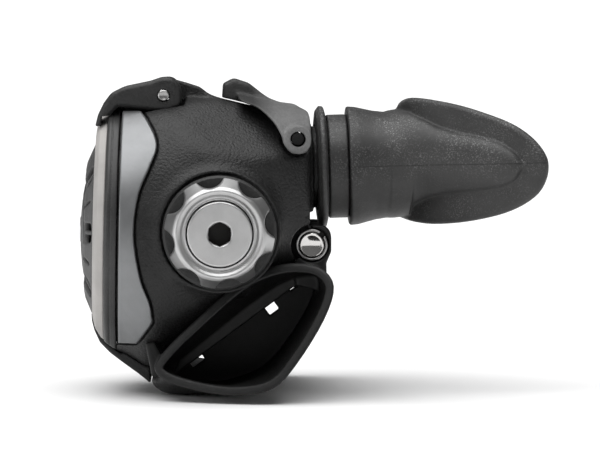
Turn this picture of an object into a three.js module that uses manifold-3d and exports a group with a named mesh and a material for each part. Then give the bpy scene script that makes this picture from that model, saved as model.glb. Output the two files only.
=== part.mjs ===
// A diver's breathing regulator second stage: the mouth-held demand valve at the end of a low-pressure hose.
//
// Modelling frame, in millimetres: the air valve's barrel lies along Y through x = 0, z = 0. The diver's face is
// towards +X and the front cover with its purge button towards -X. +Z is up. The inhalation knob is on the -Y side
// and the hose inlet on the +Y side. The exported group is shifted so that its origin is the centre of the hose
// inlet's end face.
//
// Every piece is its own closed mesh. A cut piece keeps GAP to its neighbour, and pieces that turn keep more.

import * as THREE from 'three';
import { mergeVertices } from 'three/addons/utils/BufferGeometryUtils.js';
import Module from 'manifold-3d';

const wasm = await Module();
wasm.setup();

// ---------------------------------------------------------------- driving dimensions

const GAP = 0.3;
const HOLE_CLEARANCE = 0.25; // radial, between a pin and the hole that it passes through
const WALL = 2.2; // of the moulded case
const LARGE_ROUND = 36; // sides of the cover's rings
const ROUND = 24; // sides of a round piece
const SMALL_ROUND = 16; // sides of a small one
const RING_POINTS = 24; // points round each section of the case

// Air valve, along Y
const INLET_END = 45;
const BOSS_FACE = 32.3; // outer faces of the case's two barrel bosses
const BOSS_ROOT = 28.5;
const BOSS_RADIUS = 13.2;
const BARREL_RADIUS = 7.7;
const BARREL_BORE = 5.3;
const INLET_THREAD_RADIUS = 7.15;
const INLET_BORE = 4.4;
const SHOULDER_END = 36; // the hexagon outside the case, which a hose nut tightens against
const HEXAGON_ACROSS_FLATS = 21;
const SHOULDER_RADIUS = 11.4;
const KNOB_RADIUS = 14.8;

// Front cover, in a frame of its own: its axis is X, leaning back at the top, and a = 0 is its back plane
const FRONT_X = -26.8;
const FRONT_Z = -1;
const FRONT_LEAN = THREE.MathUtils.degToRad(1.2);
const COVER_RADIUS = 33.3;
const COVER_FRONT = -4.6;
const TRIM_RADIUS = 30.1;
const GRILLE_RADIUS = 29.5;
const BUTTON_RADIUS = 13.4;
const DIAPHRAGM_RADIUS = 29.6;
const CASE_MOUTH_RADIUS = 30;
const LEDGE_RADIUS = 26.5;
const LEDGE_DEPTH = 3;

// Cover hinge, along Y above the case
const HINGE_X = -14.7;
const HINGE_Z = 35.3;
const HINGE_PIN_RADIUS = 1.5;
const HINGE_HALF_WIDTH = 14;
const HINGE_LUG_HALF_WIDTH = 6.3;
const HINGE_LUG_RADIUS = 4.2;
const HINGE_POCKET_FLOOR = 30.3;
const HINGE_POCKET_REAR = -9.4;
const HINGE_POCKET_HALF_WIDTH = HINGE_HALF_WIDTH + 0.4;
const ROOF_REAR = -7.2; // of the thick roof round the hinge's pockets
const CLASP_HALF_WIDTH = 9;

// Mouth tube, in a frame of its own: its axis is X, pointing slightly up, and m = 0 is the case's rear face
const REAR_X = 24;
const MOUTH_Z = 15.9;
const MOUTH_TILT = THREE.MathUtils.degToRad(-1.7);
const TUBE_HALF_HEIGHT = 10.9;
const TUBE_HALF_WIDTH = 16.7;
const TUBE_LENGTH = 14;
const TUBE_WALL = 2;
const TUBE_EXPONENT = 2.6; // squareness of its section
const COLLAR_MARGIN = 1; // of the collar at its root

// Slanted underside of the case, with the exhaust port
const UNDERSIDE_X = -18;
const UNDERSIDE_Z = -39;
const UNDERSIDE_SLOPE = 0.74;
const PORT_X = 2;
const PORT_RADIUS = 12;
const PORT_BOSS_RADIUS = 16.2;
const PORT_BOSS_HEIGHT = 0.8;
const PORT_HUB_RADIUS = 3;
const SPOKE_HALF_WIDTH = 0.9;
const SPOKE_BOTTOM = -1.6;
const SPOKE_TOP = -0.2;
const EXHAUST_VALVE_RADIUS = 14;
const TEE_WALL = 1.8;
const TEE_ROOF = 3.5; // depth of the tee's flat ceiling below the underside plane

// Cross pin that holds the exhaust tee, along Y at the case's lower rear corner
const TEE_PIN_X = 24.5;
const TEE_PIN_Z = -4.2;
const TEE_PIN_RADIUS = 1.9;
const TEE_LUG_HALF_WIDTH = 12;
const TEE_LUG_RADIUS = 3.7;
const TEE_EAR_OUTER = 18;
const TEE_EAR_RADIUS = 5.2;
const TEE_EAR_CLEARANCE = 0.4;
const EAR_PAD_RADIUS = 7.6; // of the case's wall round each ear
const EAR_PAD_END = 23;
const EAR_PAD_ROOT = 10;

// Venturi lever, turning about Y above the mouth tube
const VENTURI_X = 20.7;
const VENTURI_Z = 23.9;
const VENTURI_PIN_RADIUS = 1.6;

// Demand lever, turning about Z beside the poppet
const LEVER_PIVOT_X = 2;
const LEVER_PIVOT_Y = 14;
const LEVER_LEG_Z = 8.2;
const LEVER_THICKNESS = 1.2;

// ---------------------------------------------------------------- materials

function material(colour, roughness, metalness = 0) {
  return new THREE.MeshStandardMaterial({ color: colour, roughness, metalness });
}

const BLACK_NYLON = material(0x37373a, 0.75);
const DARK_PLASTIC = material(0x2b2b2e, 0.6);
const GUNMETAL = material(0x6c6d71, 0.35, 0.8);
const WARM_GREY = material(0xa8a39b, 0.45, 0.5);
const GREY_PLASTIC = material(0x636265, 0.7);
const CHROME = material(0xb9b7b2, 0.15, 1);
const SATIN_METAL = material(0xa3a3a3, 0.35, 0.9);
const STEEL = material(0x8c8c8c, 0.3, 1);
const BLACK_RUBBER = material(0x1b1b1c, 0.9);
const SOFT_RUBBER = material(0x4c4c4d, 0.9);
const SILICONE = material(0x8f8f8a, 0.8);

// ---------------------------------------------------------------- geometry and solids

const MERGE_DISTANCE = 1e-4;

// A closed geometry as a solid. A frame places it first.
function solid(geometry, frame) {
  const bare = (geometry.index ? geometry.toNonIndexed() : geometry).clone();
  bare.deleteAttribute('normal');
  bare.deleteAttribute('uv');
  if (frame) bare.applyMatrix4(frame);
  const merged = mergeVertices(bare, MERGE_DISTANCE);
  return new wasm.Manifold(
    new wasm.Mesh({
      numProp: 3,
      vertProperties: merged.attributes.position.array,
      triVerts: new Uint32Array(merged.index.array),
    }),
  );
}

function geometryOf(made) {
  const { vertProperties, triVerts } = made.getMesh();
  const geometry = new THREE.BufferGeometry();
  geometry.setAttribute('position', new THREE.BufferAttribute(new Float32Array(vertProperties), 3));
  geometry.setIndex(new THREE.BufferAttribute(new Uint32Array(triVerts), 1));
  geometry.computeVertexNormals();
  return geometry;
}

function joined(...pieces) {
  return pieces.reduce((whole, piece) => whole.add(piece));
}

function cut(base, ...tools) {
  return tools.reduce((left, tool) => left.subtract(tool), base);
}

function piece(parent, name, shape, look) {
  const geometry = shape.isBufferGeometry ? shape : geometryOf(shape);
  const mesh = new THREE.Mesh(geometry, look);
  mesh.name = name;
  parent.add(mesh);
  return mesh;
}

// A turned piece from its half section, a list of [radius, distance along the axis]. A section that doesn't
// start on the axis closes on itself and makes a ring.
function turned(section, axis, sides = ROUND) {
  const points = section.map(([radius, along]) => new THREE.Vector2(radius, along));
  if (points[0].x > 0) points.push(points[0].clone());
  if (THREE.ShapeUtils.area(points) < 0) points.reverse();
  const geometry = new THREE.LatheGeometry(points, sides);
  if (axis === 'x') geometry.rotateZ(-Math.PI / 2);
  if (axis === 'z') geometry.rotateX(Math.PI / 2);
  return geometry;
}

function cylinder(radius, start, end, axis, sides = ROUND) {
  return turned([[0, start], [radius, start], [radius, end], [0, end]], axis, sides);
}

function pipe(inner, outer, start, end, axis, sides = ROUND) {
  return turned([[inner, start], [outer, start], [outer, end], [inner, end]], axis, sides);
}

function ringSeal(centreRadius, wire, along, axis) {
  const sides = 6;
  const section = [];
  for (let i = 0; i < sides; i += 1) {
    const angle = (i * 2 * Math.PI) / sides;
    section.push([centreRadius + wire * Math.cos(angle), along + wire * Math.sin(angle)]);
  }
  return turned(section, axis, SMALL_ROUND);
}

function box(from, to) {
  const size = to.map((high, i) => high - from[i]);
  const geometry = new THREE.BoxGeometry(...size);
  geometry.translate(...from.map((low, i) => low + size[i] / 2));
  return geometry;
}

// A plate whose outline lies in X and Z, from y = near to y = far.
function plateAlongY(outline, near, far) {
  const geometry = new THREE.ExtrudeGeometry(outline, {
    depth: far - near,
    bevelEnabled: false,
    curveSegments: 8,
  });
  geometry.rotateX(Math.PI / 2);
  geometry.translate(0, far, 0);
  return geometry;
}

// A plate whose outline lies in X and Y, from z = low to z = high.
function plateAlongZ(outline, low, high) {
  const geometry = new THREE.ExtrudeGeometry(outline, {
    depth: high - low,
    bevelEnabled: false,
    curveSegments: 12,
  });
  geometry.translate(0, 0, low);
  return geometry;
}

function outlineOf(points) {
  return new THREE.Shape(points.map(([x, y]) => new THREE.Vector2(x, y)));
}

// A closed body through a list of rings. Each ring is a list of [x, y, z] that runs counter-clockwise seen from
// the last ring's side.
function loft(rings) {
  const count = rings[0].length;
  const positions = rings.flat(2);
  const indices = [];
  for (let i = 0; i < rings.length - 1; i += 1) {
    for (let j = 0; j < count; j += 1) {
      const next = (j + 1) % count;
      const a = i * count + j;
      const b = i * count + next;
      const c = a + count;
      const d = b + count;
      indices.push(a, b, c, b, d, c);
    }
  }
  const capCentre = (ring) => [0, 1, 2].map((k) => ring.reduce((sum, p) => sum + p[k], 0) / count);
  positions.push(...capCentre(rings[0]), ...capCentre(rings[rings.length - 1]));
  const firstCentre = rings.length * count;
  const lastRing = (rings.length - 1) * count;
  for (let j = 0; j < count; j += 1) {
    const next = (j + 1) % count;
    indices.push(firstCentre, next, j);
    indices.push(firstCentre + 1, lastRing + j, lastRing + next);
  }
  const geometry = new THREE.BufferGeometry();
  geometry.setAttribute('position', new THREE.Float32BufferAttribute(positions, 3));
  geometry.setIndex(indices);
  geometry.computeVertexNormals();
  return geometry;
}

// A rounded box's section: exponent 2 is an ellipse, and a higher one is squarer.
function superellipse(count, halfWidth, halfHeight, exponent) {
  const points = [];
  for (let j = 0; j < count; j += 1) {
    const angle = (j * 2 * Math.PI) / count;
    const cosine = Math.cos(angle);
    const sine = Math.sin(angle);
    points.push([
      halfWidth * Math.sign(cosine) * Math.abs(cosine) ** (2 / exponent),
      halfHeight * Math.sign(sine) * Math.abs(sine) ** (2 / exponent),
    ]);
  }
  return points;
}

// A tube of superellipse sections along X. Each station is [along, half width, half height, exponent].
function sleeve(stations, count = RING_POINTS) {
  return loft(
    stations.map(([along, halfWidth, halfHeight, exponent]) =>
      superellipse(count, halfWidth, halfHeight, exponent).map(([y, z]) => [along, y, z]),
    ),
  );
}

class Helix extends THREE.Curve {
  constructor(startRadius, endRadius, turns, length) {
    super();
    Object.assign(this, { startRadius, endRadius, turns, length });
  }

  getPoint(t, target = new THREE.Vector3()) {
    const angle = t * this.turns * 2 * Math.PI;
    const radius = this.startRadius + (this.endRadius - this.startRadius) * t;
    return target.set(t * this.length, radius * Math.cos(angle), radius * Math.sin(angle));
  }
}

// A coil spring along X from x = 0.
function coilSpring(startRadius, endRadius, turns, length, wire) {
  const sides = 4;
  const stepsPerTurn = 9;
  const section = new THREE.Shape().setFromPoints(
    Array.from({ length: sides }, (_, i) => {
      const angle = (i * 2 * Math.PI) / sides;
      return new THREE.Vector2(wire * Math.cos(angle), wire * Math.sin(angle));
    }),
  );
  return new THREE.ExtrudeGeometry(section, {
    steps: turns * stepsPerTurn,
    extrudePath: new Helix(startRadius, endRadius, turns, length),
    bevelEnabled: false,
  });
}

// ---------------------------------------------------------------- frames

const frontFrame = new THREE.Matrix4().makeRotationY(FRONT_LEAN).setPosition(FRONT_X, 0, FRONT_Z);
const mouthFrame = new THREE.Matrix4().makeRotationY(MOUTH_TILT).setPosition(REAR_X, 0, MOUTH_Z);

// The exhaust frame's Z axis points out of the slanted underside, down and back, and its origin is the port's
// centre on that plane.
const undersideZ = (x) => UNDERSIDE_Z + (x - UNDERSIDE_X) * UNDERSIDE_SLOPE;
const undersideAngle = Math.atan(UNDERSIDE_SLOPE);
const exhaustFrame = new THREE.Matrix4()
  .makeRotationY(Math.PI - undersideAngle)
  .setPosition(PORT_X, 0, undersideZ(PORT_X));

function groupIn(parent, frame) {
  const group = new THREE.Group();
  group.applyMatrix4(frame);
  parent.add(group);
  return group;
}

const regulator = new THREE.Group();
regulator.position.y = -INLET_END;
const front = groupIn(regulator, frontFrame);
const mouth = groupIn(regulator, mouthFrame);
const exhaust = groupIn(regulator, exhaustFrame);

// ---------------------------------------------------------------- case

// The case's outer skin at stations along X: top and bottom heights, half width and squareness.
const CASE_STATIONS = [
  { x: -29.5, top: 32.6, bottom: -33.6, halfWidth: 33.3, exponent: 2 },
  { x: -26.5, top: 32.6, bottom: -33.8, halfWidth: 33.3, exponent: 2 },
  { x: -18, top: 34.2, bottom: -39.0, halfWidth: 33.4, exponent: 2.2 },
  { x: -9, top: 34.9, bottom: undersideZ(-9), halfWidth: 33, exponent: 2.4 },
  { x: 0, top: 34.6, bottom: undersideZ(0), halfWidth: 32, exponent: 2.7 },
  { x: 10, top: 32.2, bottom: undersideZ(10), halfWidth: 29, exponent: 3 },
  { x: 18, top: 30.4, bottom: undersideZ(18), halfWidth: 25, exponent: 3 },
  { x: REAR_X, top: 28.6, bottom: undersideZ(REAR_X), halfWidth: 21.5, exponent: 3.2 },
];

// The case's skin moved out by grow, between two distances along X.
function caseSkin(grow, fromX = -Infinity, toX = Infinity) {
  const rings = CASE_STATIONS.map((station) => {
    const x = Math.min(Math.max(station.x, fromX), toX);
    const centre = (station.top + station.bottom) / 2;
    const halfHeight = (station.top - station.bottom) / 2 + grow;
    return superellipse(RING_POINTS, station.halfWidth + grow, halfHeight, station.exponent).map(([y, z]) => [
      x,
      y,
      centre + z,
    ]);
  });
  return loft(rings);
}

function hingeLug() {
  const outline = new THREE.Shape();
  const root = HINGE_POCKET_FLOOR + 0.7;
  outline.moveTo(HINGE_X - HINGE_LUG_RADIUS, root);
  outline.lineTo(HINGE_X - HINGE_LUG_RADIUS, HINGE_Z);
  outline.absarc(HINGE_X, HINGE_Z, HINGE_LUG_RADIUS, Math.PI, Math.PI / 3, true);
  outline.lineTo(-6.2, 37.8);
  outline.lineTo(-2.6, 35.6);
  outline.lineTo(-2.6, root);
  return solid(plateAlongY(outline, -HINGE_LUG_HALF_WIDTH, HINGE_LUG_HALF_WIDTH));
}

// Thickens the roof where the hinge's cheeks sink into it.
function hingeRoof() {
  const halfWidth = HINGE_POCKET_HALF_WIDTH + WALL;
  return solid(box([-30, -halfWidth, HINGE_POCKET_FLOOR - WALL], [ROOF_REAR, halfWidth, 40]));
}

function hingePockets() {
  const inner = HINGE_LUG_HALF_WIDTH;
  const outer = HINGE_POCKET_HALF_WIDTH;
  return [
    solid(box([-31, inner, HINGE_POCKET_FLOOR], [HINGE_POCKET_REAR, outer, 42])),
    solid(box([-31, -outer, HINGE_POCKET_FLOOR], [HINGE_POCKET_REAR, -inner, 42])),
  ];
}

function teeLug() {
  const outline = new THREE.Shape();
  outline.moveTo(17, -10.5);
  outline.lineTo(TEE_PIN_X + 1.3, TEE_PIN_Z - 3.5);
  outline.absarc(TEE_PIN_X, TEE_PIN_Z, TEE_LUG_RADIUS, -Math.PI / 2.6, Math.PI / 2, false);
  outline.lineTo(17, TEE_PIN_Z + TEE_LUG_RADIUS);
  return solid(plateAlongY(outline, -TEE_LUG_HALF_WIDTH, TEE_LUG_HALF_WIDTH));
}

function exhaustPort() {
  const boss = solid(cylinder(PORT_BOSS_RADIUS, -2.4, PORT_BOSS_HEIGHT, 'z'), exhaustFrame);
  const opening = solid(cylinder(PORT_RADIUS, -9, 3, 'z'), exhaustFrame);
  return { boss, opening };
}

function portSpokes() {
  const spokeCount = 3;
  const spokes = [solid(cylinder(PORT_HUB_RADIUS, SPOKE_BOTTOM, SPOKE_TOP, 'z', SMALL_ROUND), exhaustFrame)];
  for (let i = 0; i < spokeCount; i += 1) {
    const bar = box([0, -SPOKE_HALF_WIDTH, SPOKE_BOTTOM], [PORT_RADIUS + 1.5, SPOKE_HALF_WIDTH, SPOKE_TOP]);
    bar.rotateZ((i * 2 * Math.PI) / spokeCount);
    spokes.push(solid(bar, exhaustFrame));
  }
  const stemHole = solid(cylinder(1.35, -3, 1, 'z', SMALL_ROUND), exhaustFrame);
  return cut(joined(...spokes), stemHole);
}

function caseSolid() {
  const cavity = cut(solid(caseSkin(-WALL, -20.6, REAR_X - WALL)), hingeRoof());
  const skin = cut(
    solid(caseSkin(0)),
    cavity,
    solid(box([-20, -50, -60], [GAP / 2, 50, 60]), frontFrame),
    solid(cylinder(CASE_MOUTH_RADIUS, -1, LEDGE_DEPTH, 'x'), frontFrame),
    solid(cylinder(LEDGE_RADIUS, -1, 8, 'x'), frontFrame),
  );
  const bosses = [-1, 1].map((side) =>
    solid(cylinder(BOSS_RADIUS, side > 0 ? BOSS_ROOT : -BOSS_FACE, side > 0 ? BOSS_FACE : -BOSS_ROOT, 'y')),
  );
  const earPads = solid(
    cylinder(EAR_PAD_RADIUS, -EAR_PAD_END, EAR_PAD_END, 'y').translate(TEE_PIN_X, 0, TEE_PIN_Z),
  ).intersect(solid(caseSkin(0)));
  const collar = [
    [-3, TUBE_HALF_WIDTH + COLLAR_MARGIN, TUBE_HALF_HEIGHT + COLLAR_MARGIN, TUBE_EXPONENT],
    [1, TUBE_HALF_WIDTH + COLLAR_MARGIN, TUBE_HALF_HEIGHT + COLLAR_MARGIN, TUBE_EXPONENT],
  ];
  const tube = [
    [0, TUBE_HALF_WIDTH, TUBE_HALF_HEIGHT, TUBE_EXPONENT],
    [TUBE_LENGTH, TUBE_HALF_WIDTH, TUBE_HALF_HEIGHT, TUBE_EXPONENT],
  ];
  const airway = [
    [-6, TUBE_HALF_WIDTH - TUBE_WALL, TUBE_HALF_HEIGHT - TUBE_WALL, TUBE_EXPONENT],
    [TUBE_LENGTH + 1, TUBE_HALF_WIDTH - TUBE_WALL, TUBE_HALF_HEIGHT - TUBE_WALL, TUBE_EXPONENT],
  ];
  const port = exhaustPort();
  const whole = joined(
    skin,
    ...bosses,
    cut(earPads, solid(box([0, -EAR_PAD_ROOT, -60], [60, EAR_PAD_ROOT, 60]))),
    cut(hingeLug(), solid(box([-40, -50, 20], [40, 50, HINGE_POCKET_FLOOR]))),
    cut(teeLug(), solid(caseSkin(-WALL / 2))),
    solid(sleeve(collar), mouthFrame),
    solid(sleeve(tube), mouthFrame),
    port.boss,
  );
  const earClearance = [-1, 1].map((side) =>
    solid(
      cylinder(
        TEE_EAR_RADIUS + TEE_EAR_CLEARANCE,
        side > 0 ? TEE_LUG_HALF_WIDTH : -30,
        side > 0 ? 30 : -TEE_LUG_HALF_WIDTH,
        'y',
      ).translate(TEE_PIN_X, 0, TEE_PIN_Z),
    ),
  );
  const spotFaces = [
    solid(cylinder(KNOB_RADIUS + 0.5, -40, -BOSS_FACE, 'y')),
    solid(cylinder(SHOULDER_RADIUS + 1.2, BOSS_FACE, 40, 'y')),
  ];
  const pinHoles = [
    [HINGE_X, HINGE_Z, HINGE_PIN_RADIUS + HOLE_CLEARANCE],
    [TEE_PIN_X, TEE_PIN_Z, TEE_PIN_RADIUS + HOLE_CLEARANCE],
    [VENTURI_X, VENTURI_Z, VENTURI_PIN_RADIUS + HOLE_CLEARANCE],
    [0, 0, BARREL_RADIUS + GAP],
  ].map(([x, z, radius]) => solid(cylinder(radius, -50, 50, 'y', SMALL_ROUND).translate(x, 0, z)));
  return joined(
    cut(
      whole,
      ...hingePockets(),
      ...earClearance,
      ...spotFaces,
      ...pinHoles,
      port.opening,
      solid(sleeve(airway), mouthFrame),
    ),
    portSpokes(),
  );
}

piece(regulator, 'case', caseSolid(), BLACK_NYLON);

// The metal cheek plate on each side, between the cover and the barrel, with its waved rear edge.
function panelOutline() {
  const frontEdge = FRONT_X + 0.7;
  const outline = new THREE.Shape();
  outline.moveTo(frontEdge - 0.7, -29.8);
  outline.lineTo(-21.8, -30);
  outline.lineTo(-17.7, -24);
  outline.splineThru(
    [
      [-17.8, -20.5],
      [-20.5, -12.7],
      [-22.3, -1],
      [-21.2, 9],
      [-17.6, 17.6],
      [-16.5, 22.4],
      [-18.4, 28],
      [-20.4, 30.9],
    ].map(([x, z]) => new THREE.Vector2(x, z)),
  );
  outline.lineTo(frontEdge + 0.8, 30.9);
  return outline;
}

const panelShell = cut(solid(caseSkin(1.5)), solid(caseSkin(GAP)));
for (const [name, near, far] of [
  ['side_panel_left', -40, -5],
  ['side_panel_right', 5, 40],
]) {
  const band = solid(plateAlongY(panelOutline(), near, far));
  piece(regulator, name, panelShell.intersect(band), GUNMETAL);
}

// ---------------------------------------------------------------- front cover

// The cover's rim, notched at the bottom for the clasp.
function coverRingSolid() {
  const ring = turned(
    [
      [25.5, -0.15],
      [25.5, -1.5],
      [30.4, -1.5],
      [30.4, COVER_FRONT + 0.4],
      [31.2, COVER_FRONT],
      [32.5, COVER_FRONT],
      [COVER_RADIUS, COVER_FRONT + 0.9],
      [COVER_RADIUS, -0.15],
    ],
    'x',
    LARGE_ROUND,
  );
  const notch = box([-10, -CLASP_HALF_WIDTH - GAP, -40], [1, CLASP_HALF_WIDTH + GAP, -29]);
  return cut(solid(ring), solid(notch));
}
piece(front, 'cover_ring', coverRingSolid(), DARK_PLASTIC);

piece(
  front,
  'trim_ring',
  turned(
    [
      [24.9, -6.4],
      [TRIM_RADIUS, -3.9],
      [TRIM_RADIUS, -2.9],
      [24.9, -5.4],
    ],
    'x',
    LARGE_ROUND,
  ),
  WARM_GREY,
);

// A domed grille. Its slots run round between the button's edge and the trim ring.
function grilleSolid() {
  const dome = turned(
    [
      [13.9, -8.7],
      [16.9, -9],
      [18.6, -8.7],
      [21.6, -7.4],
      [24.5, -6],
      [24.5, -4.9],
      [GRILLE_RADIUS, -2.6],
      [GRILLE_RADIUS, -1.8],
      [24.2, -4.2],
      [20.6, -6.1],
      [17.2, -7.4],
      [13.9, -7.3],
    ],
    'x',
    LARGE_ROUND,
  );
  const slotCount = 8;
  const slots = [];
  for (let i = 0; i < slotCount; i += 1) {
    const slot = box([-12, -2.6, 15.8], [0, 2.6, 22.6]);
    slot.rotateX((i * 2 * Math.PI) / slotCount);
    slots.push(solid(slot));
  }
  return cut(solid(dome), ...slots);
}
piece(front, 'front_grille', grilleSolid(), GREY_PLASTIC);

piece(
  front,
  'purge_button',
  turned(
    [
      [0, -9.6],
      [3.8, -9.6],
      [3.8, -10.3],
      [8, -10],
      [12, -9.4],
      [BUTTON_RADIUS, -9],
      [BUTTON_RADIUS, -6.8],
      [14.8, -6.8],
      [14.8, -6],
      [12.2, -6],
      [12.2, -7.8],
      [8, -8.2],
      [3.4, -8.4],
      [3.4, 1],
      [0, 1],
    ],
    'x',
  ),
  DARK_PLASTIC,
);

piece(front, 'purge_badge', cylinder(3.5, -10.6, -9.8, 'x', SMALL_ROUND), SATIN_METAL);

// A spoked disc behind the grille that the purge spring stands on.
function retainerSolid() {
  const disc = solid(pipe(4.2, 25, -1.5, -0.4, 'x'));
  const windows = [];
  const windowCount = 6;
  for (let i = 0; i < windowCount; i += 1) {
    const window = cylinder(4.2, -3, 1, 'x', SMALL_ROUND);
    window.translate(0, 0, 16.5);
    window.rotateX(((i + 0.5) * 2 * Math.PI) / windowCount);
    windows.push(solid(window));
  }
  return cut(disc, ...windows);
}
piece(front, 'purge_retainer', retainerSolid(), BLACK_NYLON);

const purgeSpring = piece(front, 'purge_spring', coilSpring(10.8, 7.4, 4, 4.4, 0.45), STEEL);
purgeSpring.position.x = -6.7;

piece(
  front,
  'diaphragm_clamp_ring',
  pipe(LEDGE_RADIUS, DIAPHRAGM_RADIUS, 0.45, 1.5, 'x'),
  DARK_PLASTIC,
);

piece(
  front,
  'diaphragm',
  turned(
    [
      [0, 2],
      [18.5, 2],
      [20.5, 4.6],
      [23.5, 4.6],
      [25.6, 1.8],
      [DIAPHRAGM_RADIUS, 1.8],
      [DIAPHRAGM_RADIUS, 2.7],
      [26.1, 2.7],
      [24, 5.4],
      [20, 5.4],
      [18, 2.8],
      [0, 2.8],
    ],
    'x',
  ),
  SILICONE,
);

piece(front, 'diaphragm_disc', cylinder(16.8, 3.1, 3.7, 'x'), STEEL);

// ---------------------------------------------------------------- cover hinge and clasp

// The cover's rings, grown, which the hinge wraps round without touching.
const ringClearance = joined(
  solid(cylinder(COVER_RADIUS + GAP, COVER_FRONT - GAP, 0.3, 'x'), frontFrame),
  solid(cylinder(TRIM_RADIUS - 1, -5.4, 0, 'x'), frontFrame),
);

function hingeBridgeSolid() {
  const outline = new THREE.Shape();
  outline.moveTo(-32.9, 27.6);
  outline.lineTo(-31.2, 27.6);
  outline.lineTo(-26.8, 32.2);
  outline.lineTo(-24.5, 32.2);
  outline.lineTo(HINGE_X, HINGE_Z - 4.4);
  outline.absarc(HINGE_X, HINGE_Z, 4.4, -Math.PI / 2, Math.PI / 2.6, false);
  outline.lineTo(HINGE_X + 1, HINGE_Z + 4.7);
  outline.lineTo(-18.5, 39.2);
  outline.lineTo(-25.2, 37.7);
  outline.lineTo(-28.9, 35.7);
  outline.lineTo(-31, 32.6);
  const block = solid(plateAlongY(outline, -HINGE_HALF_WIDTH, HINGE_HALF_WIDTH));
  const slotHalfWidth = HINGE_LUG_HALF_WIDTH + GAP;
  const lugSlot = box([HINGE_X - 5.1, -slotHalfWidth, 30], [HINGE_X + 10, slotHalfWidth, 42]);
  const caseRoom = solid(caseSkin(GAP)).intersect(
    solid(box([-40, -slotHalfWidth, 0], [40, slotHalfWidth, 50])),
  );
  const pinHole = cylinder(HINGE_PIN_RADIUS + HOLE_CLEARANCE, -20, 20, 'y', SMALL_ROUND);
  return cut(
    block,
    ringClearance,
    caseRoom,
    solid(lugSlot),
    solid(pinHole.translate(HINGE_X, 0, HINGE_Z)),
  );
}
piece(regulator, 'hinge_bridge', hingeBridgeSolid(), BLACK_NYLON);

piece(
  regulator,
  'cover_hinge_pin',
  cylinder(HINGE_PIN_RADIUS, -HINGE_HALF_WIDTH - 0.3, HINGE_HALF_WIDTH + 0.3, 'y', SMALL_ROUND).translate(
    HINGE_X,
    0,
    HINGE_Z,
  ),
  STEEL,
);

// The hook under the cover that snaps beneath the case and holds the cover shut.
function claspSolid() {
  const outline = outlineOf([
    [-32.2, -31.5],
    [-31.7, -32],
    [-29.6, -33.7],
    [-26.2, -35.5],
    [-20.6, -40],
    [-20.6, -37],
    [-28.1, -33],
    [-28.1, -31.5],
  ]);
  return cut(solid(plateAlongY(outline, -CLASP_HALF_WIDTH, CLASP_HALF_WIDTH)), solid(caseSkin(GAP)));
}
piece(regulator, 'bottom_clasp', claspSolid(), BLACK_NYLON);

// ---------------------------------------------------------------- air valve

function barrelSolid() {
  const body = turned(
    [
      [BARREL_BORE, -35],
      [BARREL_RADIUS, -35],
      [BARREL_RADIUS, BOSS_FACE + GAP],
      [SHOULDER_RADIUS, BOSS_FACE + GAP],
      [SHOULDER_RADIUS, 33.6],
      [INLET_THREAD_RADIUS, 33.6],
      [INLET_THREAD_RADIUS, INLET_END - 0.6],
      [INLET_THREAD_RADIUS - 0.6, INLET_END],
      [INLET_BORE, INLET_END],
      [INLET_BORE, 33.5],
      [BARREL_BORE, 33.5],
    ],
    'y',
  );
  const hexagon = cylinder(HEXAGON_ACROSS_FLATS / Math.sqrt(3), 33.4, SHOULDER_END, 'y', 6);
  const core = cylinder(INLET_THREAD_RADIUS - 0.2, 30, SHOULDER_END + 2, 'y');
  const leverWindow = box([-6, 11, -9], [5, 17.6, 9]);
  const sealGrooves = [-31.2, 29.6].map((y) => solid(pipe(6.7, 8.5, y - 0.9, y + 0.9, 'y')));
  return cut(joined(solid(body), cut(solid(hexagon), solid(core))), solid(leverWindow), ...sealGrooves);
}
piece(regulator, 'valve_barrel', barrelSolid(), CHROME);

piece(regulator, 'barrel_o_ring_knob', ringSeal(7.4, 0.5, -31.2, 'y'), BLACK_RUBBER);
piece(regulator, 'barrel_o_ring_inlet', ringSeal(7.4, 0.5, 29.6, 'y'), BLACK_RUBBER);

function nutSolid() {
  const hexagon = cylinder(10.3, -35.2, -BOSS_FACE - GAP, 'y', 6);
  return cut(solid(hexagon), solid(cylinder(BARREL_RADIUS + HOLE_CLEARANCE, -40, -30, 'y')));
}
piece(regulator, 'barrel_nut', nutSolid(), CHROME);

piece(
  regulator,
  'orifice',
  turned(
    [
      [2.1, 22],
      [2.8, 22],
      [3.4, 23.4],
      [4.9, 23.4],
      [4.9, 27],
      [3.3, 27],
      [3.3, 29.2],
      [4.9, 29.2],
      [4.9, 33],
      [2.1, 33],
    ],
    'y',
    SMALL_ROUND,
  ),
  SATIN_METAL,
);
piece(regulator, 'orifice_o_ring', ringSeal(4.35, 0.65, 28.1, 'y'), BLACK_RUBBER);

piece(
  regulator,
  'poppet',
  turned(
    [
      [0, -5.5],
      [1.7, -5.5],
      [1.7, 9.2],
      [4.7, 9.2],
      [4.7, 12.4],
      [2.3, 12.4],
      [2.3, 16.2],
      [4.7, 16.2],
      [4.7, 21],
      [3.9, 21],
      [3.9, 19.2],
      [0, 19.2],
    ],
    'y',
    SMALL_ROUND,
  ),
  DARK_PLASTIC,
);
piece(regulator, 'poppet_seat', cylinder(3.5, 19.5, 21.7, 'y', SMALL_ROUND), BLACK_RUBBER);

const poppetSpring = piece(regulator, 'poppet_spring', coilSpring(2.8, 2.8, 6, 19.4, 0.4), STEEL);
poppetSpring.rotation.z = Math.PI / 2;
poppetSpring.position.y = -11;

piece(
  regulator,
  'spring_pad',
  turned(
    [
      [0, -16],
      [4.9, -16],
      [4.9, -11.8],
      [2.1, -11.8],
      [2.1, -7.9],
      [0, -7.9],
    ],
    'y',
    SMALL_ROUND,
  ),
  SATIN_METAL,
);

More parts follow.
